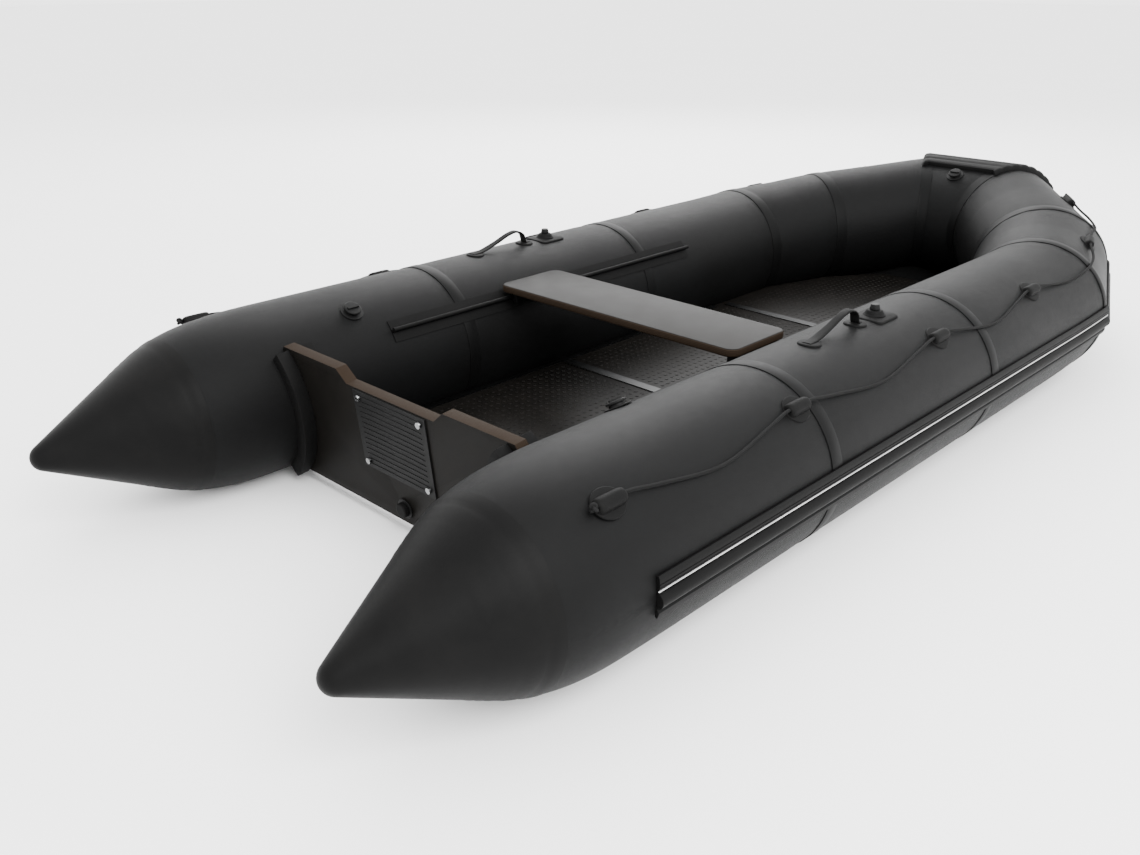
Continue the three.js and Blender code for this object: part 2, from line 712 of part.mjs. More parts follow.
/** The rope's route on the port side: leg, distance along it, angle round the tube, lift. */
const lying = ropeRadius + 1;
const tunnel = (leg, along) => [-46, 0, 46].map(
  (step) => [leg, along + step, lifelineAngle, tunnelHeight],
);
const bight = (from, to) => [[0.2, 3, 2], [0.5, 9, 0], [0.8, 3, 2]].map(
  ([share, sag, lift]) => [0, from + share * (to - from), lifelineAngle - sag, lying + lift],
);
const lifelineRoute = [
  ...fittingX.flatMap((x, i) => [...(i ? bight(fittingX[i - 1], x) : []), ...tunnel(0, x)]),
  ...[[-303, 3, 2], [-153, 7, 0], [-23, 6, 5]].map(
    ([step, sag, lift]) => [0, straightLength + step, lifelineAngle - sag, lying + lift],
  ),
  [1, 45, lifelineAngle - 4, lying + 6],
  ...tunnel(1, 0.5 * legLength(1)),
  [1, legLength(1) - 94, lifelineAngle - 1, lying + 6],
  [1, legLength(1) - 19, lifelineAngle - 4, lying + 6],
  [2, 60, lifelineAngle - 4, lying + 5.5],
  [2, 130, lifelineAngle - 2, lying + 4.5],
  ...tunnel(2, legLength(2) - lastFitting),
];
const route = new THREE.CatmullRomCurve3(
  lifelineRoute.map((p) => pointOnTube(...p)), false, 'centripetal',
);
const rope = (radius) => welded(new THREE.ExtrudeGeometry(
  new THREE.Shape(arc(radius, 0, 360, 8).slice(0, 8)),
  { steps: 78, bevelEnabled: false, extrudePath: route },
));
const lifeline = rope(ropeRadius);
piece('port_lifeline', lifeline, ropeFibre());
piece('starboard_lifeline', mirrored(lifeline), ropeFibre());

const ropeClear = rope(ropeRadius + ropeSlack);
const fittingStops = [
  ...fittingX.map((x) => [0, x, tubeClear]),
  [1, 0.5 * legLength(1), bowClear],
  [2, legLength(2) - lastFitting, bowClear],
];
fittingStops.forEach(([leg, along, tube], i) => {
  const fitting = cut(onTube(ropeFitting(), leg, along, lifelineAngle), tube, ropeClear);
  piece(`port_rope_fitting_${i + 1}`, fitting, darkRubber());
  piece(`starboard_rope_fitting_${i + 1}`, mirrored(fitting), darkRubber());
});

// ---------------------------------------------------------------- carry handles

/** Strap that arches between two feet on top of the tube, highest towards the bow. */
function carryHandle() {
  const span = handleForward - handleAft;
  const middle = new THREE.SplineCurve([
    [0, 2], [0.12 * span, 5], [0.4 * span, 0.5 * handleRise], [0.68 * span, 0.94 * handleRise],
    [0.83 * span, handleRise], [0.95 * span, 0.7 * handleRise], [span, 2],
  ].map(([x, z]) => new THREE.Vector2(x, z)));
  const strap = 5.5;
  const points = middle.getPoints(28);
  const normal = (i) => {
    const t = middle.getTangent(i / 28);
    return new THREE.Vector2(-t.y, t.x).multiplyScalar(strap / 2);
  };
  const ribbon = [
    ...points.map((p, i) => p.clone().add(normal(i))),
    ...points.map((p, i) => p.clone().sub(normal(i))).reverse(),
  ];
  const arch = flat(ribbon, 26)
    .rotateX(Math.PI / 2).translate(handleAft, 13, tubeRadius + 3);
  const foot = (x) => block(x - 24, x + 24, -27, 27, tubeRadius - 8, tubeRadius + 5);
  return joined(foot(handleAft), foot(handleForward), arch);
}
const handle = cut(onTube(carryHandle(), 0, 0, 90), tubeClear);
piece('port_handle', handle, darkRubber());
piece('starboard_handle', mirrored(handle), darkRubber());

// ---------------------------------------------------------------- oarlocks

const bossTop = tubeRadius + 17;
const pad = cut(
  joined(
    block(-50, 50, -46, 46, tubeRadius - 10, tubeRadius + 5),
    post(27, 19, tubeRadius, bossTop),
  ),
  post(pinRadius + gap, pinRadius + gap, tubeRadius + 4, bossTop + 10),
);
const pin = turned([
  [0, tubeRadius + 4 + gap], [pinRadius, tubeRadius + 4 + gap], [pinRadius, bossTop + gap],
  [13, bossTop + gap], [13, bossTop + 5], [10, bossTop + 14], [0, bossTop + 15],
]);
const portPad = cut(onTube(pad, 0, oarlockX, 90), tubeClear);
const portPin = onTube(pin, 0, oarlockX, 90);
piece('port_oarlock_pad', portPad, darkRubber());
piece('starboard_oarlock_pad', mirrored(portPad), darkRubber());
piece('port_oarlock_pin', portPin, mouldedPlastic());
piece('starboard_oarlock_pin', mirrored(portPin), mouldedPlastic());

// ---------------------------------------------------------------- air valves

const flangeTop = tubeRadius + gap + 3;
const collarTop = flangeTop + 6;
const valveBody = () => turned([
  [14, tubeRadius - valveDepth + 6], [14, collarTop], [19, collarTop], [19, flangeTop],
  [32, flangeTop], [32, tubeRadius + gap], [valveRadius, tubeRadius + gap],
  [valveRadius, tubeRadius - valveDepth], [0, tubeRadius - valveDepth],
  [0, tubeRadius - valveDepth + 6],
]);
const valveCap = () => joined(
  turned([
    [0, tubeRadius - 6], [14 - gap, tubeRadius - 6], [14 - gap, collarTop + gap],
    [24, collarTop + gap], [24, collarTop + 5], [22, collarTop + 7], [0, collarTop + 7],
  ]),
  block(-19, 19, -4, 4, collarTop + 3, collarTop + 12),
);
for (const [name, geometry, material] of [
  ['valve_body', valveBody, mouldedPlastic], ['valve_cap', valveCap, mouldedPlastic],
]) {
  const port = onTube(geometry(), 0, valveX, valveAngle);
  piece(`port_${name}`, port, material());
  piece(`starboard_${name}`, mirrored(port), material());
  piece(`bow_${name}`, onTube(geometry(), frontLeg, frontMiddle, valveAngle), material());
}

// ---------------------------------------------------------------- bow towing ring

const barHeight = 11; // of the ring's bar above the tube
const ringPatchReach = THREE.MathUtils.radToDeg(Math.asin((ringPatchRadius + 5) / tubeRadius));
const bowRingAngle = -(strakeReach + ringPatchReach);
const eye = ringRod / Math.SQRT2 + gap + 0.2;
const ringPatch = cut(
  joined(
    post(ringPatchRadius, ringPatchRadius, tubeRadius - 14, tubeRadius + 4, 32),
    block(-11, 11, -10, 10, tubeRadius - 8, tubeRadius + barHeight + 8),
  ),
  barX(eye, -60, 60, 0, tubeRadius + barHeight, 20),
);
piece('bow_ring_patch', cut(onTube(ringPatch, frontLeg, frontMiddle, bowRingAngle), bowClear),
  darkRubber());

/** D-shaped ring that hangs from its straight bar. */
function towingRing() {
  const straight = -0.35 * ringDrop;
  const dee = (halfWidth, top, depth) => [
    new THREE.Vector2(-halfWidth, top), new THREE.Vector2(halfWidth, top),
    ...arc(1, 0, -180, 14).map((p) => new THREE.Vector2(p.x * halfWidth, straight + p.y * depth)),
  ];
  const outline = new THREE.Shape(dee(ringWidth / 2, ringRod / 2, 0.65 * ringDrop));
  outline.holes.push(new THREE.Path(
    dee(ringWidth / 2 - ringRod, -ringRod / 2, 0.65 * ringDrop - ringRod).reverse(),
  ));
  const bar = pointOnTube(frontLeg, frontMiddle, bowRingAngle, barHeight);
  return standing(outline, ringRod).translate(bar.x, bar.y, bar.z);
}
piece('bow_ring', towingRing(), stainless());

// ---------------------------------------------------------------- origin

const box = new THREE.Box3().setFromObject(dinghy);
dinghy.position.set(-(box.min.x + box.max.x) / 2, 0, -box.min.z);
dinghy.updateMatrixWorld(true);

export default dinghy;
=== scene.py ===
"""An inflatable dinghy: coated-fabric air tubes, moulded stern cones, rub strake, transom, floor,
thwart seat, lifelines and fittings, on a pale studio floor. Metres, +X to the bow, +Z up."""

import math

import bmesh
import bpy
import numpy as np
from mathutils import Matrix, Vector


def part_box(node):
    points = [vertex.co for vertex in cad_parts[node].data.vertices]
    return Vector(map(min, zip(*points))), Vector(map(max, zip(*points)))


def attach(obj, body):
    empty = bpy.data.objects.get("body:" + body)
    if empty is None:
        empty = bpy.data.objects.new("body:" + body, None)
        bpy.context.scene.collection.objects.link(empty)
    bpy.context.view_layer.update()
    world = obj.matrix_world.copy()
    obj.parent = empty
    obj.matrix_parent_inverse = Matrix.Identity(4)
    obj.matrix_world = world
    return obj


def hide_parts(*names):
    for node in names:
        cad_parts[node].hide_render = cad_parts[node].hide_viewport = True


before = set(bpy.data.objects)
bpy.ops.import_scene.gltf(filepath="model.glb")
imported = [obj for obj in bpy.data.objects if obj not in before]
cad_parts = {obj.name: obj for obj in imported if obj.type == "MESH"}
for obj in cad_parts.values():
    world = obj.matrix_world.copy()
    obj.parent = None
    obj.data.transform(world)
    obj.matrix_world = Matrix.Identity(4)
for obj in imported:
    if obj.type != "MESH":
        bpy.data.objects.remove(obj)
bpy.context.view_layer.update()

# ------------------------------------------------------------------ camera

EYE = Vector((-2.5825, -1.8362, 1.2728))
YAW, PITCH = math.radians(44.11), math.radians(23.8)
looking = Vector((math.cos(PITCH) * math.cos(YAW), math.cos(PITCH) * math.sin(YAW), -math.sin(PITCH)))
camera_data = bpy.data.cameras.new("camera")
camera_data.sensor_width = 36.0
camera_data.lens = 33.02
camera_data.clip_end = 60.0
camera = bpy.data.objects.new("camera", camera_data)
camera.rotation_euler = looking.to_track_quat("-Z", "Y").to_euler()
camera.location = EYE
bpy.context.scene.collection.objects.link(camera)
bpy.context.scene.camera = camera


# ------------------------------------------------------------------ shader arithmetic

class Wire:
    """One output of a finish's nodes, which takes part in plain arithmetic."""

    def __init__(self, finish, socket):
        self.finish, self.socket = finish, socket

    def math(self, operation, *values):
        return self.finish.node("ShaderNodeMath", {"operation": operation}, dict(enumerate(values)))

    def __add__(self, other):
        return self.math("ADD", self, other)

    def __sub__(self, other):
        return self.math("SUBTRACT", self, other)

    def __rsub__(self, other):
        return self.math("SUBTRACT", other, self)

    def __mul__(self, other):
        return self.math("MULTIPLY", self, other)

    def __pow__(self, other):
        return self.math("POWER", self, other)

    def __abs__(self):
        return self.math("ABSOLUTE", self)

    def over(self, limit):
        return self.math("GREATER_THAN", self, limit)

    def sine(self):
        return self.math("SINE", self)

    def clipped(self):
        return self.finish.node("ShaderNodeClamp", {}, {"Value": self})


class Finish:
    """A material made of nodes. Every node but the shader comes from node()."""

    def __init__(self, name, **constants):
        self.material = bpy.data.materials.new(name)
        self.material.use_nodes = True
        self.tree = self.material.node_tree
        self.shader = self.tree.nodes["Principled BSDF"]
        for socket, value in constants.items():
            self.shader.inputs[socket.replace("_", " ")].default_value = value

    def node(self, kind, settings, sockets, output=0):
        made = self.tree.nodes.new(kind)
        for name, value in settings.items():
            setattr(made, name, value)
        for name, value in sockets.items():
            if isinstance(value, Wire):
                self.tree.links.new(value.socket, made.inputs[name])
            else:
                made.inputs[name].default_value = value
        return Wire(self, made.outputs[output])

    def place(self, output="Object"):
        return self.node("ShaderNodeTexCoord", {}, {}, output)

    def noise(self, where, scale, detail=3.0, roughness=0.55):
        return self.node("ShaderNodeTexNoise", {}, {
            "Vector": where, "Scale": scale, "Detail": detail, "Roughness": roughness})

    def axes(self, where):
        return [self.node("ShaderNodeSeparateXYZ", {}, {"Vector": where}, i) for i in range(3)]

    def stretched(self, where, scale):
        return self.node("ShaderNodeMapping", {}, {"Vector": where, "Scale": scale})

    def blend(self, share, first, second):
        return self.node("ShaderNodeMix", {"data_type": "RGBA"}, {0: share, 6: first, 7: second}, 2)

    def drive(self, socket, wire):
        self.tree.links.new(wire.socket, self.shader.inputs[socket])

    def relief(self, height, depth):
        self.drive("Normal", self.node("ShaderNodeBump", {}, {
            "Strength": 1.0, "Distance": depth, "Height": height}))


def grey(value, warmth=0.0):
    return (value * (1 + warmth), value, value * (1 - warmth), 1.0)


def coated_fabric(name, tone):
    """Calendered PVC on polyester cloth: satin, with a faint weave and slight dusting."""
    f = Finish(name, Specular_IOR_Level=0.055)
    where = f.place()
    u, v, _ = f.axes(f.place("UV"))
    weave = (u * (math.tau / 0.0016)).sine() * (v * (math.tau / 0.0016)).sine()
    cloudy = f.noise(where, 3.2, 4.0)
    dust = f.noise(where, 38.0, 5.0, 0.7)
    f.drive("Base Color", f.blend((cloudy - 0.35) * 1.3, grey(tone * 0.75), grey(tone * 1.25, -0.04)))
    f.drive("Roughness", (cloudy * 0.14 + dust * 0.12 + 0.36).clipped())
    orange_peel = f.noise(where, 260.0, 2.0)
    f.relief(weave * 0.35 + orange_peel * 0.4 + dust * 0.25, 0.00022)
    return f.material


def moulded_rubber(name, tone, rough=0.52):
    """Vulcanised rubber: matt, fine-grained, paler where it has been rubbed."""
    f = Finish(name, Specular_IOR_Level=0.05)
    where = f.place()
    bloom = f.noise(where, 9.0, 5.0, 0.62)
    grain = f.noise(where, 900.0, 2.0)
    scuffs = f.noise(f.stretched(where, (6.0, 55.0, 55.0)), 4.0, 4.0, 0.7)
    f.drive("Base Color", f.blend((bloom - 0.4) * 1.6, grey(tone * 0.8), grey(tone * 1.5, 0.03)))
    f.drive("Roughness", (bloom * 0.16 + scuffs * 0.14 + rough - 0.12).clipped())
    f.relief(grain * 0.6 + scuffs * 0.4, 0.00025)
    return f.material


def braided_rope(name, tone):
    """Two families of strands wound opposite ways, on the rope's own map, with painted shade in the grooves
    between them.
    """
    f = Finish(name, Specular_IOR_Level=0.05)
    u, v, _ = f.axes(f.place("UV"))
    left = ((u * 8.0 + v * 8.0) * math.pi).sine()
    right = ((u * 8.0 - v * 8.0) * math.pi).sine()
    strands = left * left * (right * right)
    fibres = f.noise(f.stretched(f.place("UV"), (60.0, 14.0, 1.0)), 3.0, 3.0)
    # painted shade: the colour darkens in the grooves between strands, where the relief is low
    f.drive("Base Color", f.blend(strands * 0.8 + fibres * 0.2, grey(tone * 0.5), grey(tone * 1.4)))
    f.drive("Roughness", (fibres * 0.2 + 0.62).clipped())
    f.relief(strands * 0.85 + fibres * 0.15, 0.0008)
    return f.material


def film_faced_plywood(name, across, tone):
    """Phenolic film on both faces, and bare plies along the edges. across is the board's normal."""
    f = Finish(name, Specular_IOR_Level=0.045)
    where = f.place()
    facing = f.node("ShaderNodeVectorMath", {"operation": "DOT_PRODUCT"}, {
        0: f.node("ShaderNodeNewGeometry", {}, {}, "Normal"), 1: across}, "Value")
    depth = f.node("ShaderNodeVectorMath", {"operation": "DOT_PRODUCT"}, {0: where, 1: across}, "Value")
    edge = 1.0 - abs(facing).over(0.7)
    plies = ((depth * (math.pi / 0.0021)).sine() * 0.5 + 0.5) ** 0.6
    fibre = f.noise(f.stretched(where, (7.0, 60.0, 60.0)), 6.0, 5.0, 0.65)
    mottle = f.noise(where, 14.0, 5.0, 0.6)
    film = f.blend((mottle - 0.35) * 1.5, grey(tone * 0.8, 0.10), grey(tone * 1.3, 0.16))
    bare = f.blend(plies * 0.7 + fibre * 0.3, (0.007, 0.0045, 0.003, 1), (0.021, 0.014, 0.009, 1))
    f.drive("Base Color", f.blend(edge, film, bare))
    f.drive("Roughness", (mottle * 0.12 + edge * 0.25 + 0.38).clipped())
    f.relief(fibre * 0.5 + plies * edge * 0.5 + mottle * 0.3, 0.0003)
    return f.material


def drawn_aluminium(name, tone, along=(1.0, 60.0, 60.0)):
    """Extruded and dark-anodised aluminium, with die lines along its length."""
    f = Finish(name, Metallic=1.0)
    where = f.place()
    lines = f.noise(f.stretched(where, along), 20.0, 3.0)
    patina = f.noise(where, 11.0, 4.0)
    f.drive("Base Color", f.blend(patina, grey(tone * 0.8), grey(tone * 1.25, -0.03)))
    f.drive("Roughness", (lines * 0.2 + patina * 0.12 + 0.24).clipped())
    f.relief(lines, 0.00008)
    return f.material


def moulded_plastic(name, tone):
    """Injection-moulded nylon with a spark-eroded grain."""
    f = Finish(name, Specular_IOR_Level=0.07)
    where = f.place()
    grain = f.noise(where, 1300.0, 2.0)
    flow = f.noise(where, 25.0, 3.0)
    f.drive("Base Color", f.blend(flow, grey(tone * 0.85), grey(tone * 1.2)))
    f.drive("Roughness", (flow * 0.1 + grain * 0.12 + 0.34).clipped())
    f.relief(grain, 0.00015)
    return f.material


def polished_steel(name):
    """Electropolished stainless rod with hairline marks."""
    f = Finish(name, Metallic=1.0)
    where = f.place()
    hairlines = f.noise(f.stretched(where, (90.0, 90.0, 4.0)), 12.0, 2.0)
    f.drive("Base Color", f.blend(hairlines, grey(0.20), grey(0.30, -0.02)))
    f.drive("Roughness", (hairlines * 0.16 + 0.14).clipped())
    f.relief(hairlines, 0.00005)
    return f.material


def studio_paper(name):
    f = Finish(name, Roughness=0.85, Specular_IOR_Level=0.1)
    f.drive("Base Color", f.blend(f.noise(f.place(), 0.7, 2.0), grey(0.93), grey(0.96)))
    return f.material


TUBE_FABRIC = coated_fabric("tube_fabric", 0.0038)
TAPE_FABRIC = coated_fabric("seam_tape_fabric", 0.0030)
SKIN_FABRIC = coated_fabric("bottom_fabric", 0.0045)
CONE_RUBBER = moulded_rubber("cone_rubber", 0.0034, 0.46)
STRAKE_RUBBER = moulded_rubber("strake_rubber", 0.0030)
PATCH_RUBBER = moulded_rubber("patch_rubber", 0.0038, 0.58)
# pale rubber for the stripe along the strake
STRIPE_RUBBER = moulded_rubber("pale_stripe_rubber", 0.50, 0.5)
ROPE_FIBRE = braided_rope("rope_fibre", 0.010)
FLOOR_PLY = film_faced_plywood("floor_plywood", (0.0, 0.0, 1.0), 0.0045)
TRANSOM_PLY = film_faced_plywood("transom_plywood", (0.99452, 0.0, 0.10453), 0.0042)
PROFILE_METAL = drawn_aluminium("profile_aluminium", 0.022)
JOINER_METAL = drawn_aluminium("joiner_aluminium", 0.024, (60.0, 1.0, 60.0))
FITTING_PLASTIC = moulded_plastic("fitting_plastic", 0.0048)
RING_STEEL = polished_steel("ring_steel")
BOLT_STEEL = polished_steel("bolt_steel")
PAPER = studio_paper("studio_paper")

# ------------------------------------------------------------------ the line of the tubes

AFT = -1.430735  # the frame's X where the side tubes stop being straight, aft
AXIS = 0.225  # height of the side tubes' axes
TUBE = 0.225
HALF = 0.603
BOW_START, BOW_LENGTH = 2.333, 0.737
BOW_END = BOW_START + BOW_LENGTH
RISE, RISE_LEAD, RISE_POWER = 0.094, 0.197, 1.8
RISE_START = BOW_START - RISE_LEAD

port_corners = [(0.0, HALF), (BOW_START, HALF), (BOW_START + 0.505 * BOW_LENGTH, 0.783 * HALF),
                (BOW_END, 0.29 * HALF)]
CORNERS = np.array(port_corners + [(x, -y) for x, y in reversed(port_corners)])
RISE_STOPS = [RISE_START, RISE_START + RISE_LEAD / 2, BOW_START]
for before, after in zip(port_corners[1:], port_corners[2:]):
    RISE_STOPS += [(before[0] + after[0]) / 2, after[0]]
RISE_HEIGHTS = [RISE * ((x - RISE_START) / (BOW_END - RISE_START)) ** RISE_POWER for x in RISE_STOPS]


def rise(x):
    return float(np.interp(x, RISE_STOPS, RISE_HEIGHTS))


def heading(leg):
    run = CORNERS[leg + 1] - CORNERS[leg]
    return run / np.linalg.norm(run)


def outboard(leg):
    d = heading(leg)
    return np.array([-d[1], d[0]])


def leg_length(leg):
    return float(np.linalg.norm(CORNERS[leg + 1] - CORNERS[leg]))


def stop(leg, along):
    return CORNERS[leg] + heading(leg) * along, outboard(leg)


def mitre(corner, shift=0.0):
    before, after = outboard(corner - 1), outboard(corner)
    leg = corner - 1 if shift < 0 else corner
    return CORNERS[corner] + heading(leg) * shift, (before + after) / (1 + before @ after)


def ring_at(at, out, section):
    """Places a flat section of [outboard, up] points at a stop on the line."""
    section = np.asarray(section)
    return np.column_stack([at[0] + out[0] * section[:, 0] + AFT, at[1] + out[1] * section[:, 0],
                            rise(at[0]) + section[:, 1] + AXIS])


def tube_frame(leg, along, degrees):
    """(forward, round the tube, outwards, centre) at an angle round a tube's axis."""
    at, out = stop(leg, along)
    run = heading(leg)
    slope = (rise(at[0] + 0.001) - rise(at[0] - 0.001)) / 0.002 * run[0]
    forward = Vector((run[0], run[1], slope)).normalized()
    side = Vector((out[0], out[1], 0.0))
    turn = math.radians(degrees)
    radial = side * math.cos(turn) + forward.cross(side) * math.sin(turn)
    return forward, radial.cross(forward), radial, Vector((at[0] + AFT, at[1], rise(at[0]) + AXIS))


def on_tube(leg, along, degrees):
    """Matrix that takes a piece made round a tube's axis (X along it, Z outwards) to its place."""
    x, y, z, centre = tube_frame(leg, along, degrees)
    return Matrix.Translation(centre) @ Matrix((x, y, z)).transposed().to_4x4()


def units(rows):
    """Each row of an array, at a length of one."""
    return rows / np.linalg.norm(rows, axis=1, keepdims=True)


def arc(radius, start, end, steps, x=0.0, y=0.0):
    a = np.radians(np.linspace(start, end, steps + 1))
    return np.column_stack([x + radius * np.cos(a), y + radius * np.sin(a)])


# ------------------------------------------------------------------ making pieces

def piece(name, points, faces, material, smooth=40.0, uv=None):
    """A mesh with its faces pointing outwards, shaded smooth up to an angle."""
    mesh = bpy.data.meshes.new(name)
    mesh.from_pydata([tuple(p) for p in points], [], faces)
    if uv is not None:
        layer = mesh.uv_layers.new(name="UVMap")
        index = np.zeros(len(mesh.loops), np.int32)
        mesh.loops.foreach_get("vertex_index", index)
        layer.data.foreach_set("uv", np.asarray(uv, np.float32)[index].ravel())
    bm = bmesh.new()
    bm.from_mesh(mesh)
    bmesh.ops.recalc_face_normals(bm, faces=bm.faces)
    bm.to_mesh(mesh)
    bm.free()
    mesh.shade_smooth()
    mesh.set_sharp_from_angle(angle=math.radians(smooth))
    mesh.materials.append(material)
    made = bpy.data.objects.new(name, mesh)
    bpy.context.scene.collection.objects.link(made)
    return made


def mirrored(points, faces):
    return [(p[0], -p[1], p[2]) for p in points], faces


def fit(made, body, slot, *nodes):
    """Puts a finished piece on its body and hides the CAD nodes it stands for. The slot is not used."""
    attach(made, body)
    if nodes:
        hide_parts(*nodes)
    return made


def both_sides(name, shape, material, body, slot, *nodes, smooth=40.0, uv=None):
    """A port piece and its mirror image. Braces stand for the side in names, nodes and body."""
    for side, (points, faces) in (("port", shape), ("starboard", mirrored(*shape))):
        made = piece(name.format(side), points, faces, material, smooth, uv)
        fit(made, body.format(side), slot, *(node.format(side) for node in nodes))


def skinned(rings, closed_ends=True, around=True, looped=False):
    """Vertices and faces of a run of rings, closed at its ends with fans, or joined into a loop."""
    rings = [np.asarray(r, float) for r in rings]
    count = len(rings[0])
    points = list(np.concatenate(rings))
    faces = []
    for r in range(len(rings) if looped else len(rings) - 1):
        here, there = r * count, (r + 1) % len(rings) * count
        for i in range(count if around else count - 1):
            j = (i + 1) % count
            faces.append((here + i, here + j, there + j, there + i))
    if closed_ends:
        for r, ring in ((0, rings[0]), (len(rings) - 1, rings[-1])):
            centre = len(points)
            points.append(ring.mean(0))
            faces += [(r * count + i, r * count + (i + 1) % count, centre) for i in range(count)]
    return points, faces


def solid_of(section, stops):
    """A closed sweep of a section along stops, with flat ends that suit any outline."""
    rings = [ring_at(at, out, section) for at, out in stops]
    points, faces = skinned(rings, closed_ends=False)
    count = len(section)
    faces += [tuple(range(count)), tuple(range((len(rings) - 1) * count, len(rings) * count))]
    return points, faces


def turned(profile, sides=48):
    """A turned solid about Z from [radius, height] points, from its axis round to its axis."""
    points, rows = [], []
    for r, z in profile:
        if r < 1e-6:
            rows.append([len(points)] * sides)
            points.append((0.0, 0.0, z))
        else:
            rows.append([len(points) + i for i in range(sides)])
            points += [(r * math.cos(math.tau * i / sides), r * math.sin(math.tau * i / sides), z)
                       for i in range(sides)]
    faces = []
    for low, high in zip(rows, rows[1:]):
        for i in range(sides):
            j = (i + 1) % sides
            corners = list(dict.fromkeys((low[i], low[j], high[j], high[i])))
            if len(corners) > 2:
                faces.append(tuple(corners))
    return points, faces


def rounded(profile, radius):
    """A profile with its inner corners rounded."""
    out = [profile[0]]
    for a, b, c in zip(profile, profile[1:], profile[2:]):
        a, b, c = (np.array(p, float) for p in (a, b, c))
        into, away = a - b, c - b
        reach = min(radius, 0.45 * np.linalg.norm(into), 0.45 * np.linalg.norm(away))
        start, end = b + into / np.linalg.norm(into) * reach, b + away / np.linalg.norm(away) * reach
        for t in np.linspace(0, 1, 5):
            out.append(tuple((1 - t) ** 2 * start + 2 * t * (1 - t) * b + t ** 2 * end))
    return out + [profile[-1]]


def placed(points, matrix):
    return [matrix @ Vector(p) for p in points]


def merged(*parts):
    """Several closed shapes as one list of points and faces."""
    points, faces = [], []
    for some_points, some_faces in parts:
        start = len(points)
        points += list(some_points)
        faces += [tuple(i + start for i in f) for f in some_faces]
    return points, faces


def pillow(outline, thickness, edge, steps=4):
    """A flat patch in X and Y with a rounded rim, lying from z = 0 up to its thickness."""
    outline = np.asarray(outline)
    centre = outline.mean(0)
    reach = np.linalg.norm(outline - centre, axis=1, keepdims=True)
    rings = [np.column_stack([outline, np.full(len(outline), 0.0)])]
    for t in np.linspace(0, 1, steps + 1):
        inset = edge * (1 - math.cos(t * math.pi / 2))
        z = thickness * math.sin(t * math.pi / 2)
        flat = centre + (outline - centre) * (1 - inset / reach)
        rings.append(np.column_stack([flat, np.full(len(outline), z)]))
    return skinned(rings)


def wrapped(points, faces):
    """Bends a piece made flat over z = 0 on to an air tube that runs along X."""
    bent = [(x, (TUBE + z) * math.sin(y / TUBE), (TUBE + z) * math.cos(y / TUBE)) for x, y, z in points]
    return bent, faces


def rounded_oblong(half_long, half_wide, radius, steps):
    """Outline of an oblong with round corners, given from the middle to the corners' centres."""
    return [np.array([x_side * half_long, y_side * half_wide]) + p
            for x_side, y_side, start in ((1, 1, 0), (-1, 1, 90), (-1, -1, 180), (1, -1, 270))
            for p in arc(radius, start, start + 90, steps)]


def oval(long, wide, count=48):
    return arc(1.0, 0, 360 - 360 / count, count - 1) * (long, wide)


# ------------------------------------------------------------------ air tubes

ROUND = 96
SEAMS = (0.735, 1.54)  # joints between the lengths of cloth in a side tube
around = np.linspace(0, 360, ROUND, endpoint=False)


def circle(radius):
    a = np.radians(around)
    return np.column_stack([radius * np.cos(a), radius * np.sin(a)])


SHOULDER_END, SHOULDER, CONE, CONE_BASE, CONE_TIP = 0.205, 0.323, 0.299, 0.19035, 0.03285
CONE_BREAK, CONE_BREAK_RADIUS = 0.034, 0.1764
SHOULDER_AFT = SHOULDER_END - SHOULDER
CONE_END = SHOULDER_AFT - CONE
CONE_DROP, CONE_INSET = 0.008, 0.007  # of its tip, from the tube's own line
SWELL_POWER = 3.57


def shoulder_radius(x):
    """Radius of a side tube over its rounded end."""
    return CONE_BASE + (TUBE - CONE_BASE) * (1 - (1 - (x - SHOULDER_AFT) / SHOULDER) ** SWELL_POWER)


def stern_ring(x, radius):
    share = (SHOULDER_END - x) / (SHOULDER_END - CONE_END)
    drop = min(CONE_DROP * share, TUBE - radius)
    ring = circle(radius)
    return np.column_stack([np.full(ROUND, x + AFT), HALF - CONE_INSET * share + ring[:, 0],
                            ring[:, 1] - drop + AXIS])


def between(first, last, steps):
    """Rings that run straight from one to another, without the first."""
    return [first + (last - first) * t for t in np.linspace(0, 1, steps + 1)[1:]]


def pinch(rings, seams, depth, reach):
    """Draws a tube in slightly beside its seams, as cloth under pressure is."""
    centres = np.array([r.mean(0) for r in rings])
    drawn = []
    for ring, centre in zip(rings, centres):
        near = min(np.linalg.norm(centre - s) for s in seams)
        pull = depth * math.exp(-((near / reach) ** 2))
        puckers = 1 + 0.35 * np.sin(np.radians(around) * 19 + 40 * centre[0])
        drawn.append(ring - units(ring - centre) * (pull * puckers)[:, None])
    return drawn


def cloth_uv(rings):
    """Metres round and metres along, for the weave."""
    centres = np.array([r.mean(0) for r in rings])
    along = np.concatenate([[0], np.cumsum(np.linalg.norm(np.diff(centres, axis=0), axis=1))])
    return np.concatenate([np.column_stack([np.radians(around) * TUBE, np.full(ROUND, s)])
                           for s in along] + [[[0.0, 0.0]], [[0.0, along[-1]]]])


def side_rings():
    rounded_end = [SHOULDER_AFT + SHOULDER * t ** 1.6 for t in np.linspace(0, 1, 15)]
    rings = [stern_ring(x, shoulder_radius(x)) for x in rounded_end]
    for target, steps in ((stop(0, RISE_START), 40), (stop(0, RISE_START + RISE_LEAD / 2), 4),
                          (mitre(1, -0.0005), 12)):
        rings += between(rings[-1], ring_at(*target, circle(TUBE)), steps)
    return rings


def bow_rings():
    stops = [mitre(1, 0.0005)]
    for leg in (1, 2):
        stops += [stop(leg, 0.5 * leg_length(leg)), mitre(leg + 1)]
    for leg in (4, 5):
        stops += [mitre(leg), stop(leg, 0.5 * leg_length(leg))]
    stops.append(mitre(6, -0.0005))
    rings = [ring_at(*stops[0], circle(TUBE))]
    for target in stops[1:]:
        rings += between(rings[-1], ring_at(*target, circle(TUBE)), 12)
    return rings


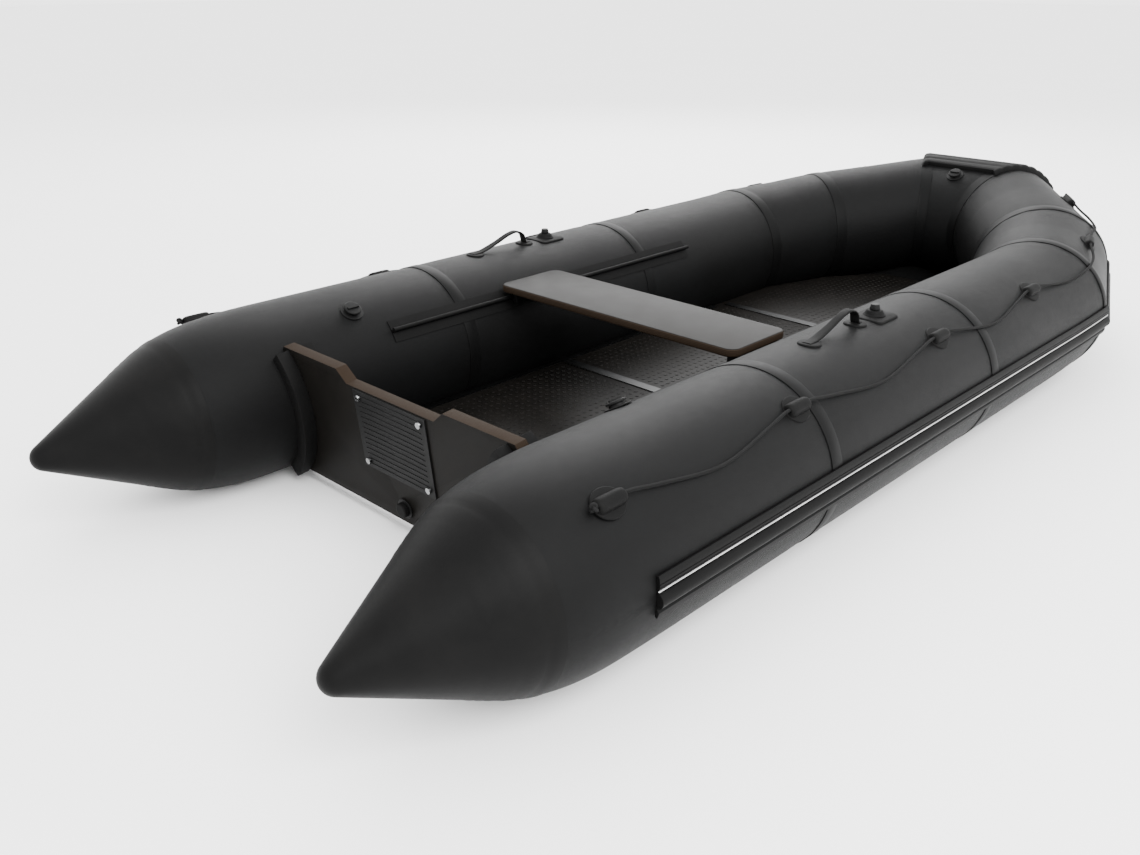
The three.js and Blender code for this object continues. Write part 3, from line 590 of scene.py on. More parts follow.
corner_places = [np.array([x + AFT, y, rise(x) + AXIS]) for x, y in CORNERS[1:7]]
panel_seams = [np.array([x + AFT, HALF, AXIS]) for x in SEAMS]


def band(rings, lift):
    """A closed strip of tape round a run of rings, with thinner rims."""
    def lifted(ring, by):
        return ring + units(ring - ring.mean(0)) * by
    rims = [lifted(rings[end], lift - 0.0004) for end in (0, -1)]
    outer = [rims[0]] + [lifted(r, lift) for r in rings[1:-1]] + [rims[1]]
    inner = [lifted(r, -0.001) for r in (rings[-1], rings[0])]
    return skinned(outer + inner, closed_ends=False, looped=True)


def corner_tape(corner):
    """Rings for the tape over the mitred seam between two panels."""
    def on_leg(leg, towards, reach):
        along = {0: leg_length(0) - RISE_LEAD / 2, 6: RISE_LEAD / 2}.get(leg, 0.5 * leg_length(leg))
        away = ring_at(*stop(leg, along), circle(TUBE)) - towards
        return towards + units(away) * reach
    seam_ring = ring_at(*mitre(corner), circle(TUBE))
    return ([on_leg(corner - 1, seam_ring, reach) for reach in (0.022, 0.021)] + [seam_ring]
            + [on_leg(corner, seam_ring, reach) for reach in (0.021, 0.022)])


rings = pinch(side_rings(), [corner_places[0]] + panel_seams, 0.0016, 0.05)
both_sides("{}_air_tube", skinned(rings), TUBE_FABRIC, "hull", "hull_fabric", "{}_tube", "{}_baffle",
           uv=cloth_uv(rings))
rings = pinch(bow_rings(), corner_places, 0.0016, 0.05)
fit(piece("bow_air_tube", *skinned(rings), TUBE_FABRIC, uv=cloth_uv(rings)), "hull", "hull_fabric",
    "bow_tube")

tapes = [band(corner_tape(c), 0.0009) for c in range(1, 7)]
for x in SEAMS:
    loops = [ring_at(*stop(0, x + step), circle(TUBE)) for step in (-0.02, -0.019, 0, 0.019, 0.02)]
    tapes += [band(loops, 0.0009), mirrored(*band(loops, 0.0009))]
fit(piece("seam_tapes", *merged(*tapes), TAPE_FABRIC, 30.0), "hull", "hull_fabric")

# ------------------------------------------------------------------ stern cones

round_start = [(SHOULDER_AFT - CONE_BREAK * t, CONE_BASE - (CONE_BASE - CONE_BREAK_RADIUS) * t ** 1.25)
               for t in np.linspace(0, 1, 7)[:-1]]
round_tip = [(CONE_END - CONE_TIP * math.sin(math.radians(a)), CONE_TIP * math.cos(math.radians(a)))
             for a in (28, 38, 48, 58, 68, 78, 86)]
start_x, (end_x, end_radius) = SHOULDER_AFT - CONE_BREAK, round_tip[0]
straight = []
for t in np.linspace(0, 1, 33)[:-1]:
    x = start_x + (end_x - start_x) * t
    ridge = sum(0.0010 * math.exp(-(((x - start_x) + d) / 0.005) ** 2) for d in (0.020, 0.036, 0.052))
    straight.append((x, CONE_BREAK_RADIUS + (end_radius - CONE_BREAK_RADIUS) * t + ridge))
skirt = [(SHOULDER_AFT + along, shoulder_radius(SHOULDER_AFT + along) + proud)
         for along, proud in ((0.030, -0.001), (0.029, 0.0012), (0.020, 0.0016), (0.008, 0.0014))]
cone = skinned([stern_ring(x, r) for x, r in skirt + round_start + straight + round_tip])
both_sides("{}_cone", cone, CONE_RUBBER, "hull", "rubber", "{}_stern_cone", smooth=50.0)

# ------------------------------------------------------------------ rub strake with a pale stripe along it

STRAKE_START, STRAKE = 0.115, 0.086
reach = math.degrees(math.asin(STRAKE / 2 / TUBE))
on_surface = np.array([TUBE, 0.0])
grooves = on_surface + [(0.0062, 0.0200), (0.0050, 0.0208), (0.0050, 0.0218), (0.0066, 0.0226),
                        (0.0066, 0.0272), (0.0050, 0.0280), (0.0050, 0.0290), (0.0062, 0.0298)]
strake_section = np.concatenate([
    arc(TUBE + 0.0004, reach, -reach, 8),
    on_surface + [(0.0004, -0.0452), (0.0022, -0.0448), (0.0050, -0.0370), (0.0058, -0.0330)],
    arc(0.017, -84, 84, 18, TUBE - 0.001, -0.008),
    grooves,
    on_surface + [(0.0058, 0.0345), (0.0048, 0.0385), (0.0022, 0.0448), (0.0004, 0.0452)],
])
side_stops = [stop(0, STRAKE_START), stop(0, RISE_START), stop(0, RISE_START + RISE_LEAD / 2), mitre(1, 0.0)]
bow_stops = [mitre(1, 0.0), stop(1, 0.5 * leg_length(1)), mitre(2), stop(2, 0.5 * leg_length(2)), mitre(3),
             mitre(4), stop(4, 0.5 * leg_length(4)), mitre(5), stop(5, 0.5 * leg_length(5)), mitre(6, 0.0)]
both_sides("{}_rub_strake", solid_of(strake_section, side_stops), STRAKE_RUBBER, "hull", "rubber",
           "{}_strake")
bow_strake = solid_of(strake_section, bow_stops)
fit(piece("bow_rub_strake", *bow_strake, STRAKE_RUBBER), "hull", "rubber", "bow_strake")

# A pale band along the upper face of the strake, round both side tubes and the bow.
stripe_section = on_surface + [(0.0020, 0.0112), (0.0048, 0.0114), (0.0054, 0.0120),
                               (0.0056, 0.0130), (0.0052, 0.0136), (0.0020, 0.0138)]
stripe = merged(solid_of(stripe_section, side_stops), mirrored(*solid_of(stripe_section, side_stops)),
                solid_of(stripe_section, bow_stops))
fit(piece("pale_stripe", *stripe, STRIPE_RUBBER), "hull", None)

# ------------------------------------------------------------------ ribbed pad over the front panel

PAD_FROM, PAD_TO, PAD_THICK, PAD_WRAP = 32.0, 112.0, 0.017, 0.026
pad_angles = np.linspace(PAD_FROM, PAD_TO, 61)


def pad_height(degrees, near_end):
    """Thickness of the pad: rounded rims, and ribs that run athwart the bow."""
    rim = min(degrees - PAD_FROM, PAD_TO - degrees) * math.radians(1) * TUBE
    crown = PAD_THICK * math.sqrt(max(0.0, 1 - max(0.0, 1 - rim / 0.012) ** 2))
    rib = 0.5 + 0.5 * math.cos((degrees - PAD_FROM - 10) / 10.0 * math.tau)
    inside = min(1.0, max(0.0, (rim - 0.014) / 0.006))
    return crown * near_end - 0.0035 * inside * rib ** 3 * near_end


def pad_ring(at, out, near_end):
    outer = [(math.radians(a), TUBE + 0.0004 + pad_height(a, near_end)) for a in pad_angles]
    inner = [(math.radians(a), TUBE - 0.001) for a in pad_angles[::-1]]
    return ring_at(at, out, [(r * math.cos(a), r * math.sin(a)) for a, r in outer + inner])


ends = [(0.0, 0.0), (0.15, 0.30), (0.5, 0.62), (1.0, 0.86), (2.0, 1.0)]
pad_rings = [pad_ring(*mitre(3, -PAD_WRAP + 0.006 * t), h) for t, h in ends]
pad_rings += [pad_ring(*mitre(3), 1.0), pad_ring(*mitre(4), 1.0)]
pad_rings += [pad_ring(*mitre(4, PAD_WRAP - 0.006 * t), h) for t, h in reversed(ends)]
fit(piece("bow_anchor_pad", *skinned(pad_rings), PATCH_RUBBER, 42.0), "hull", "rubber", "bow_pad")

# ------------------------------------------------------------------ bottom cloth and keel tube

FLOOR_TOP, FLOOR_THICK = AXIS - TUBE + 0.113, 0.012
SKIN_START = 0.235
skin_x = ([SKIN_START + s * (RISE_START - SKIN_START) for s in (0, 0.19, 0.51, 0.82)]
          + [RISE_START, BOW_START] + [BOW_START + s * BOW_LENGTH for s in (0.254, 0.505, 0.701, 0.837)])
skin_drop = [d / 1000 for d in (28, 20, 13, 11, 11, 16, 25, 42, 70, 103)]


def axis_at(x):
    leg = 0 if x < CORNERS[1][0] else 1 if x < CORNERS[2][0] else 2
    run = CORNERS[leg + 1] - CORNERS[leg]
    return CORNERS[leg][1] + run[1] * (x - CORNERS[leg][0]) / run[0], np.hypot(*run) / run[0]


def bottom_station(x):
    """Half of the stretched cloth at a distance forward, from its glued edge to the keel line."""
    y, slant = axis_at(x)
    lean = math.sqrt(1 - 1 / slant ** 2)
    wrap = []
    for degrees, proud in ((70, 0.001), (66, 0.001), (63, 0.0002), (60, -0.0024)):  # last is bedded in
        angle = math.radians(degrees)
        inward = (TUBE + proud) * math.cos(angle)
        wrap.append((y - slant * inward, rise(x + inward * lean) + AXIS - (TUBE + proud) * math.sin(angle)))
    keel = float(np.interp(x, skin_x, skin_drop)) - 0.002
    edge_y, edge_z = wrap[-1]
    across = [(edge_y * (1 - t), edge_z + (keel - edge_z) * (t ** 1.15)) for t in np.linspace(0, 1, 15)[1:]]
    return wrap + across


MITRE_SLOPE = 0.476  # of the front mitre, seen from above
BEDDED, FRONT_TOP = 0.0022, 0.105  # how deep the glued front sinks into the tube; how high it may run


def under_bow(x, y):
    """Height of the bow tube's underside, either side of the front panel's mitre."""
    if y < CORNERS[3][1] - MITRE_SLOPE * (BOW_END - x):
        return AXIS + RISE - math.sqrt(TUBE ** 2 - (BOW_END - x) ** 2) + BEDDED
    at = np.array([x, y]) - CORNERS[2]
    axis_height = AXIS + rise(CORNERS[2][0] + heading(2)[0] * (at @ heading(2)))
    return axis_height - math.sqrt(TUBE ** 2 - (at @ outboard(2)) ** 2) + BEDDED


bottom_rows = []
for x in np.linspace(skin_x[0], skin_x[-1], 70):
    half_row = bottom_station(x)
    row = half_row + [(-y, z) for y, z in reversed(half_row[:-1])]
    bottom_rows.append([(x + AFT, y, z) for y, z in row])
for lead in (0.50, 0.46, 0.42, 0.38, 0.34, 0.29, 0.24, 0.19, 0.15):  # glued under the front panel
    x = BOW_END - lead * TUBE
    y, slant = axis_at(x)
    width = y - slant * TUBE * math.cos(math.radians(72))
    places = np.linspace(width, -width, len(row))
    bottom_rows.append([(x + AFT, y, min(under_bow(x, abs(y)), FRONT_TOP)) for y in places])
points, faces = skinned(bottom_rows, closed_ends=False, around=False)
lower = [(x, y, z - 0.0012) for x, y, z in points]
count, across, long = len(points), len(bottom_rows[0]), len(bottom_rows)
border = (list(range(across)) + [r * across + across - 1 for r in range(1, long)]
          + list(range(count - 2, count - across - 1, -1)) + [r * across for r in range(long - 2, 0, -1)])
faces = faces + [tuple(i + count for i in reversed(f)) for f in faces]
faces += [(a, b, b + count, a + count) for a, b in zip(border, border[1:] + border[:1])]
cloth_uvs = [(y, x) for x, y, z in points] * 2
bottom = fit(piece("bottom_cloth", points + lower, faces, SKIN_FABRIC, uv=cloth_uvs), "hull", "hull_fabric",
             "bottom_skin")
cloth_length = BOW_END - 0.15 * TUBE - skin_x[0]

keel_fill = (0.35, 0.85, 1, 1, 1, 1, 0.9, 0.4)
keel_half = [w / 1000 for w in (70, 105, 115, 115, 112, 100, 80, 45)]
keel_top = FLOOR_TOP - FLOOR_THICK - 0.005
keel_x = [max(x, SKIN_START + 0.04) for x in skin_x[:8]]
keel_low = [d + 0.006 for d in skin_drop[:8]]
keel_tall = [(keel_top - d) * f - 0.008 for d, f in zip(skin_drop, keel_fill)]
keel_rings = []
for x in np.linspace(keel_x[0], keel_x[-1], 48):
    low, tall, wide = (float(np.interp(x, keel_x, v)) for v in (keel_low, keel_tall, keel_half))
    keel_rings.append([(x + AFT, wide * p[0], low + tall * (1 + p[1]) / 2) for p in arc(0.985, 0, 352.5, 47)])
keel_uv = [(p[1], p[0]) for ring in keel_rings for p in ring] + [(0, 0), (0, 1)]
fit(piece("keel_air_tube", *skinned(keel_rings), TUBE_FABRIC, uv=keel_uv), "hull", "hull_fabric",
    "inflatable_keel")

# ------------------------------------------------------------------ seat, its clips and rails

def board(name, node, bevel, material, body, slot):
    """A CAD board again, merged and with its edges eased."""
    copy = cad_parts[node].copy()
    copy.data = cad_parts[node].data.copy()
    copy.parent = None
    copy.name = copy.data.name = name
    for key in list(copy.keys()):
        del copy[key]
    bpy.context.scene.collection.objects.link(copy)
    bm = bmesh.new()
    bm.from_mesh(copy.data)
    bmesh.ops.remove_doubles(bm, verts=bm.verts, dist=1e-6)
    bmesh.ops.dissolve_limit(bm, angle_limit=math.radians(0.5), verts=bm.verts, edges=bm.edges)
    bm.to_mesh(copy.data)
    bm.free()
    copy.data.materials.clear()
    copy.data.materials.append(material)
    eased = copy.modifiers.new("eased", "BEVEL")
    eased.width, eased.segments, eased.limit_method, eased.angle_limit = bevel, 3, "ANGLE", math.radians(35)
    eased.use_clamp_overlap = True
    graph = bpy.context.evaluated_depsgraph_get()
    mesh = bpy.data.meshes.new_from_object(copy.evaluated_get(graph))
    copy.modifiers.clear()
    copy.data = mesh
    mesh.shade_smooth()
    mesh.set_sharp_from_angle(angle=math.radians(35))
    return fit(copy, body, slot, node)


board("seat_plank", "seat_board", 0.005, FLOOR_PLY, "seat", "plywood")
board("transom_panel", "transom_board", 0.003, TRANSOM_PLY, "hull", "plywood")
for number in (1, 2):
    board(f"floor_panel_{number}", f"floorboard_{number}", 0.0015, FLOOR_PLY, "hull", "plywood")
board("bow_floor_panel", "bow_board", 0.0015, FLOOR_PLY, "hull", "plywood")
for side in ("port", "starboard"):
    board(f"{side}_transom_grip", f"{side}_transom_holder", 0.0035, PATCH_RUBBER, "hull", "rubber")
    board(f"{side}_seat_slide", f"{side}_seat_clip", 0.0012, FITTING_PLASTIC, "seat", "plastic")

RAIL_ANGLE, RAIL_START, RAIL_STOP = 145.0, 0.470, RISE_START - 0.376
bead_out, bead_up = arc(0.239, RAIL_ANGLE, RAIL_ANGLE, 0)[0]
rail_section = np.concatenate([
    arc(TUBE + 0.0006, 137, 153, 8),
    arc(TUBE + 0.0030, 153, 146.2, 3),
    arc(TUBE + 0.0052, 145.8, 145.8, 0),
    arc(0.006, 293, -3, 26, bead_out, bead_up),
    arc(TUBE + 0.0052, 144.2, 144.2, 0),
    arc(TUBE + 0.0030, 143.8, 137, 3),
])
rail = solid_of(rail_section, [stop(0, RAIL_START), stop(0, RAIL_STOP)])
both_sides("{}_slide_rail", rail, PATCH_RUBBER, "hull", "rubber", "{}_seat_rail")

# ------------------------------------------------------------------ raised studs and bolt heads

def stud_field():
    """Node tree: a grid of little round or six-sided heads, made real."""
    tree = bpy.data.node_groups.new("stud_field", "GeometryNodeTree")
    sizes = [("Length", "Float"), ("Width", "Float"), ("Rows", "Int"), ("Columns", "Int"), ("Sides", "Int"),
             ("Foot Radius", "Float"), ("Head Radius", "Float"), ("Height", "Float"), ("Finish", "Material")]
    for name, kind in sizes:
        tree.interface.new_socket(name, in_out="INPUT", socket_type="NodeSocket" + kind)
    tree.interface.new_socket("Mesh", in_out="OUTPUT", socket_type="NodeSocketGeometry")
    given = tree.nodes.new("NodeGroupInput")
    result = tree.nodes.new("NodeGroupOutput")
    grid = tree.nodes.new("GeometryNodeMeshGrid")
    head = tree.nodes.new("GeometryNodeMeshCone")
    spread = tree.nodes.new("GeometryNodeInstanceOnPoints")
    real = tree.nodes.new("GeometryNodeRealizeInstances")
    painted = tree.nodes.new("GeometryNodeSetMaterial")
    for output, target in (("Length", grid.inputs["Size X"]), ("Width", grid.inputs["Size Y"]),
                           ("Rows", grid.inputs["Vertices X"]), ("Columns", grid.inputs["Vertices Y"]),
                           ("Sides", head.inputs["Vertices"]), ("Foot Radius", head.inputs["Radius Bottom"]),
                           ("Head Radius", head.inputs["Radius Top"]), ("Height", head.inputs["Depth"]),
                           ("Finish", painted.inputs["Material"])):
        tree.links.new(given.outputs[output], target)
    tree.links.new(grid.outputs["Mesh"], spread.inputs["Points"])
    tree.links.new(head.outputs["Mesh"], spread.inputs["Instance"])
    tree.links.new(spread.outputs["Instances"], real.inputs["Geometry"])
    tree.links.new(real.outputs["Geometry"], painted.inputs["Geometry"])
    tree.links.new(painted.outputs["Geometry"], result.inputs["Mesh"])
    return tree


STUDS = stud_field()


def studs(name, matrix, body, slot, material, inside=None, **sizes):
    """Grows a field of studs at a place, keeps those inside an outline, and makes it a plain mesh."""
    mesh = bpy.data.meshes.new(name)
    grown = bpy.data.objects.new(name, mesh)
    bpy.context.scene.collection.objects.link(grown)
    field = grown.modifiers.new("field", "NODES")
    field.node_group = STUDS
    values = {key.replace("_", " "): value for key, value in sizes.items()}
    values["Finish"] = material
    for item in STUDS.interface.items_tree:
        if item.in_out == "INPUT":
            field[item.identifier] = values[item.name]
    graph = bpy.context.evaluated_depsgraph_get()
    made = bpy.data.meshes.new_from_object(grown.evaluated_get(graph))
    grown.modifiers.clear()
    made.transform(matrix)
    if inside is not None:
        bm = bmesh.new()
        bm.from_mesh(made)
        todo = [v for v in bm.verts if not inside(v.co.x, v.co.y)]
        dropped = set(todo)
        while todo:  # a stud that is partly outside goes whole
            for edge in todo.pop().link_edges:
                todo += [v for v in edge.verts if v not in dropped]
                dropped.update(edge.verts)
        bmesh.ops.delete(bm, geom=list(dropped), context="VERTS")
        bm.to_mesh(made)
        bm.free()
    made.shade_smooth()
    made.set_sharp_from_angle(angle=math.radians(35))
    grown.data = made
    return fit(grown, body, slot)


def deck(name, low, high, inside=None):
    """Anti-slip studs over a board's top, clear of its edges."""
    long, wide = high.x - low.x - 0.09, high.y - low.y - 0.11
    place = Matrix.Translation(((low.x + high.x) / 2, (low.y + high.y) / 2, high.z + 0.0002))
    return studs(name, place, "hull", "plywood", FLOOR_PLY, inside, Length=long, Width=wide,
                 Rows=int(long / 0.024), Columns=int(wide / 0.024), Sides=8, Foot_Radius=0.0062,
                 Head_Radius=0.0046, Height=0.0011)


for number in (1, 2):
    deck(f"floor_studs_{number}", *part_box(f"floorboard_{number}"))
low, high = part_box("bow_board")
inner = math.sqrt(TUBE ** 2 - (AXIS - FLOOR_TOP) ** 2) + 0.030


def on_bow_board(x, y):
    """Whether a stud is well inside the outline of the bow board."""
    at = np.array([x - AFT, abs(y)])
    return all((CORNERS[leg] - at) @ outboard(leg) > inner for leg in (1, 2)) and x < high.x - 0.035


deck("bow_floor_studs", low, high, on_bow_board)

# ------------------------------------------------------------------ motor plates and drain

RAKE = math.radians(6.0)
TRANSOM = Matrix.Translation((0.175 + AFT, 0.0, AXIS)) @ Matrix.Rotation(-RAKE, 4, "Y")
FACE = 0.0163
for side, x, wide, low_z, high_z, name in ((-1, FACE + 0.004, 0.27, -0.070, 0.136, "outer_bolts"),
                                           (1, FACE + 0.003, 0.23, 0.010, 0.136, "inner_bolts")):
    upright = Matrix.Rotation(side * math.pi / 2, 4, "Y")
    place = TRANSOM @ Matrix.Translation((side * (x + 0.0012), 0.0, (low_z + high_z) / 2)) @ upright
    studs(name, place, "hull", "stainless", BOLT_STEEL, Length=high_z - low_z - 0.036, Width=wide - 0.04,
          Rows=2, Columns=2, Sides=6 if side > 0 else 20, Foot_Radius=0.0085, Head_Radius=0.0078,
          Height=0.005)
rib_points, rib_faces = pillow(oval(0.118, 0.0022, 24), 0.0014, 0.0012, 2)
athwart = Matrix.Rotation(-math.pi / 2, 4, "Y") @ Matrix.Rotation(math.pi / 2, 4, "Z")
ribs = [(placed(rib_points, TRANSOM @ Matrix.Translation((-(FACE + 0.004), 0.0, z)) @ athwart), rib_faces)
        for z in np.linspace(-0.058, 0.124, 14)]
fit(piece("motor_pad_ribs", *merged(*ribs), FITTING_PLASTIC), "hull", "plastic")

DRAIN = TRANSOM @ Matrix.Translation((0.0, 0.0, -0.148)) @ Matrix.Rotation(math.pi / 2, 4, "Y")
bush = rounded([(0.0121, -FACE - 0.004), (0.026, -FACE - 0.004), (0.026, -FACE), (0.016, -FACE),
                (0.016, FACE), (0.0121, FACE)], 0.001)
points, faces = turned(bush + [bush[0]])
fit(piece("drain_flange", placed(points, DRAIN), faces, FITTING_PLASTIC), "hull", "plastic", "drain_bush")
plug = rounded([(0, -FACE - 0.018), (0.015, -FACE - 0.018), (0.019, -FACE - 0.0165), (0.019, -FACE - 0.0043),
                (0.0116, -FACE - 0.0043), (0.0116, FACE - 0.006), (0, FACE - 0.006)], 0.0018)
points, faces = turned(plug)
fit(piece("drain_stopper", placed(points, DRAIN), faces, PATCH_RUBBER), "drain_plug", "rubber", "drain_plug")

# ------------------------------------------------------------------ pieces that keep their CAD shape

for name, material in (("floor_joiner_1", JOINER_METAL), ("floor_joiner_2", JOINER_METAL),
                       ("port_stringer", PROFILE_METAL), ("starboard_stringer", PROFILE_METAL),
                       ("outer_motor_plate", FITTING_PLASTIC), ("inner_motor_plate", JOINER_METAL)):
    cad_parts[name].data.materials.clear()
    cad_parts[name].data.materials.append(material)

# ------------------------------------------------------------------ rope fittings

LIFELINE_ANGLE, TUNNEL, ROPE = 52.0, 0.012, 0.004
FITTINGS = [(0, 0.075), (0, 0.675), (0, 1.330), (0, 1.910), (1, 0.5 * leg_length(1)),
            (2, leg_length(2) - 0.235)]
HUMP, BORE_SIDES = 0.0370, 25  # half the hump's length; points round its tunnel


def rope_fitting():
    """Round patch, and over it a moulded hump with a tunnel for the rope."""
    patch = wrapped(*pillow(oval(0.0405, 0.0335), 0.0034, 0.0034))
    loops = []
    for x in np.linspace(-HUMP, HUMP, 23):
        fade = math.sqrt(max(0.0, 1 - (abs(x) / HUMP) ** 6))
        tall, wide = 0.0170 + 0.0050 * fade, 0.0100 + 0.0068 * fade
        loops.append([(x, wide * math.copysign(abs(math.cos(t)) ** 0.8, math.cos(t)),
                       TUBE - 0.001 + max(0.0, math.sin(t)) ** 0.75 * tall)
                      for t in np.linspace(-0.12, math.pi + 0.12, BORE_SIDES)])
    outer, faces = skinned(loops, closed_ends=False)
    bore = arc(ROPE + 0.0009, -90, 252, BORE_SIDES - 1)
    inner, inner_faces = skinned([[(x, p[0], TUBE + TUNNEL + p[1]) for p in bore] for x in (-HUMP, HUMP)],
                                 closed_ends=False)
    points = outer + inner
    faces += [tuple(i + len(outer) for i in reversed(f)) for f in inner_faces]

    def turn(i):
        return math.atan2(points[i][2] - TUBE - TUNNEL, points[i][1]) % math.tau
    for first, bore_first in ((0, len(outer)), (len(outer) - BORE_SIDES, len(outer) + BORE_SIDES)):
        outside = sorted(range(first, first + BORE_SIDES), key=turn)
        inside = sorted(range(bore_first, bore_first + BORE_SIDES), key=turn)
        for k in range(BORE_SIDES):
            after = (k + 1) % BORE_SIDES
            faces.append((outside[k], outside[after], inside[after], inside[k]))
    return merged(patch, (points, faces))


points, faces = rope_fitting()
for number, (leg, along) in enumerate(FITTINGS, 1):
    guide = (placed(points, on_tube(leg, along, LIFELINE_ANGLE)), faces)
    both_sides("{}_rope_guide_%d" % number, guide, PATCH_RUBBER, "hull", "rubber",
               "{}_rope_fitting_%d" % number, smooth=50.0)

# ------------------------------------------------------------------ lifelines

LYING = ROPE + 0.001


def through(leg, along):
    return [(leg, along + step, LIFELINE_ANGLE, TUNNEL) for step in (-0.046, 0.0, 0.046)]


def bight(start, end):
    return [(0, start + share * (end - start), LIFELINE_ANGLE - sag, LYING + lift)
            for share, sag, lift in ((0.2, 3, 0.002), (0.5, 9, 0.0), (0.8, 3, 0.002))]


route = through(*FITTINGS[0])
for (_, before), (_, after) in zip(FITTINGS[:3], FITTINGS[1:4]):
    route += bight(before, after) + through(0, after)
route += [(0, BOW_START + step, LIFELINE_ANGLE - sag, LYING + lift)
          for step, sag, lift in ((-0.303, 3, 0.002), (-0.153, 7, 0.0), (-0.023, 6, 0.005))]
route += [(1, 0.045, LIFELINE_ANGLE - 4, LYING + 0.006)] + through(*FITTINGS[4])
route += [(1, leg_length(1) - 0.094, LIFELINE_ANGLE - 1, LYING + 0.006),
          (1, leg_length(1) - 0.019, LIFELINE_ANGLE - 4, LYING + 0.006),
          (2, 0.060, LIFELINE_ANGLE - 4, LYING + 0.0055), (2, 0.130, LIFELINE_ANGLE - 2, LYING + 0.0045)]
route += through(*FITTINGS[5])


def off_tube(leg, along, degrees, lift):
    _, _, radial, centre = tube_frame(leg, along, degrees)
    return centre + radial * (TUBE + lift)


def centripetal(points, steps):
    """Smooth line through points that neither loops nor overshoots."""
    p = [np.array(q, float) for q in points]
    p = [2 * p[0] - p[1]] + p + [2 * p[-1] - p[-2]]
    line = []
    for a, b, c, d in zip(p, p[1:], p[2:], p[3:]):
        t = np.cumsum([0] + [math.sqrt(np.linalg.norm(v - u)) for u, v in ((a, b), (b, c), (c, d))])
        for s in np.linspace(t[1], t[2], steps, endpoint=False):
            ab = (t[1] - s) / (t[1] - t[0]) * a + (s - t[0]) / (t[1] - t[0]) * b
            bc = (t[2] - s) / (t[2] - t[1]) * b + (s - t[1]) / (t[2] - t[1]) * c
            cd = (t[3] - s) / (t[3] - t[2]) * c + (s - t[2]) / (t[3] - t[2]) * d
            abc = (t[2] - s) / (t[2] - t[0]) * ab + (s - t[0]) / (t[2] - t[0]) * bc
            bcd = (t[3] - s) / (t[3] - t[1]) * bc + (s - t[1]) / (t[3] - t[1]) * cd
            line.append((t[2] - s) / (t[2] - t[1]) * abc + (s - t[1]) / (t[2] - t[1]) * bcd)
    return np.array(line + [p[-2]])


def rope_tube(line, radius):
    """A tube along a line, with a frame that doesn't twist, and its map in rope turns."""
    sides = 12
    line = np.asarray(line)
    tangents = units(np.gradient(line, axis=0))
    side = np.cross(tangents[0], (0.0, 0.0, 1.0))
    if np.linalg.norm(side) < 0.1:
        side = np.cross(tangents[0], (1.0, 0.0, 0.0))
    rings, uvs, along = [], [], 0.0
    for i, (place, tangent) in enumerate(zip(line, tangents)):
        side = side - tangent * (side @ tangent)
        side /= np.linalg.norm(side)
        up = np.cross(tangent, side)
        if i:
            along += float(np.linalg.norm(line[i] - line[i - 1]))
        a = np.linspace(0, math.tau, sides, endpoint=False)
        rings.append(place + radius * (np.cos(a)[:, None] * side + np.sin(a)[:, None] * up))
        uvs += [(k / sides, along / (math.tau * radius)) for k in range(sides)]
    points, faces = skinned(rings)
    return points, faces, uvs + [(0, 0), (0, 0)]


def overhand(place, along, size, radius):
    """A tightened stopper knot: a trefoil drawn round the rope."""
    along = Vector(along).normalized()
    side = along.orthogonal().normalized()
    up = along.cross(side)
    line = []
    for t in np.linspace(0, math.tau, 91):
        x = (math.sin(t) + 2 * math.sin(2 * t)) / 3
        y = (math.cos(t) - 2 * math.cos(2 * t)) / 3
        z = -math.sin(3 * t) * 0.5
        line.append(Vector(place) + side * (x * size) + up * (y * size) + along * (z * size))
    return rope_tube(line, radius)


line = centripetal([off_tube(*p) for p in route], 10)
for side, sign in (("port", 1), ("starboard", -1)):
    its_line = line * (1, sign, 1)
    points, faces, uvs = rope_tube(its_line, ROPE)
    rope = fit(piece(f"{side}_lifeline_rope", points, faces, ROPE_FIBRE, 80.0, uvs), "hull", "rope",
               f"{side}_lifeline")
    for end, name in ((0, "aft"), (-1, "forward")):
        inward = its_line[1] - its_line[0] if end == 0 else its_line[-2] - its_line[-1]
        points, faces, uvs = overhand(its_line[end], inward, 0.0068, ROPE * 0.92)
        fit(piece(f"{side}_lifeline_knot_{name}", points, faces, ROPE_FIBRE, 80.0, uvs), "hull",
                         "rope")

# ------------------------------------------------------------------ carry handles

AFT_FOOT, FORE_FOOT, HANDLE_RISE = 0.940, 1.150, 0.044
span = FORE_FOOT - AFT_FOOT
spine = centripetal([(-0.014, 0, 0.0035), (0.0, 0, 0.0040), (0.12 * span, 0, 0.0062),
                     (0.4 * span, 0, 0.5 * HANDLE_RISE), (0.68 * span, 0, 0.94 * HANDLE_RISE),
                     (0.83 * span, 0, HANDLE_RISE), (0.95 * span, 0, 0.7 * HANDLE_RISE),
                     (span, 0, 0.0050), (span + 0.014, 0, 0.0035)], 9)


def strap_section(wide, thick):
    """Flat strap with rounded edges and a raised middle."""
    a = np.linspace(0, math.tau, 24, endpoint=False)
    return np.column_stack([np.sign(np.cos(a)) * np.abs(np.cos(a)) ** 0.5 * wide / 2,
                            np.sign(np.sin(a)) * np.abs(np.sin(a)) ** 0.8 * thick / 2])


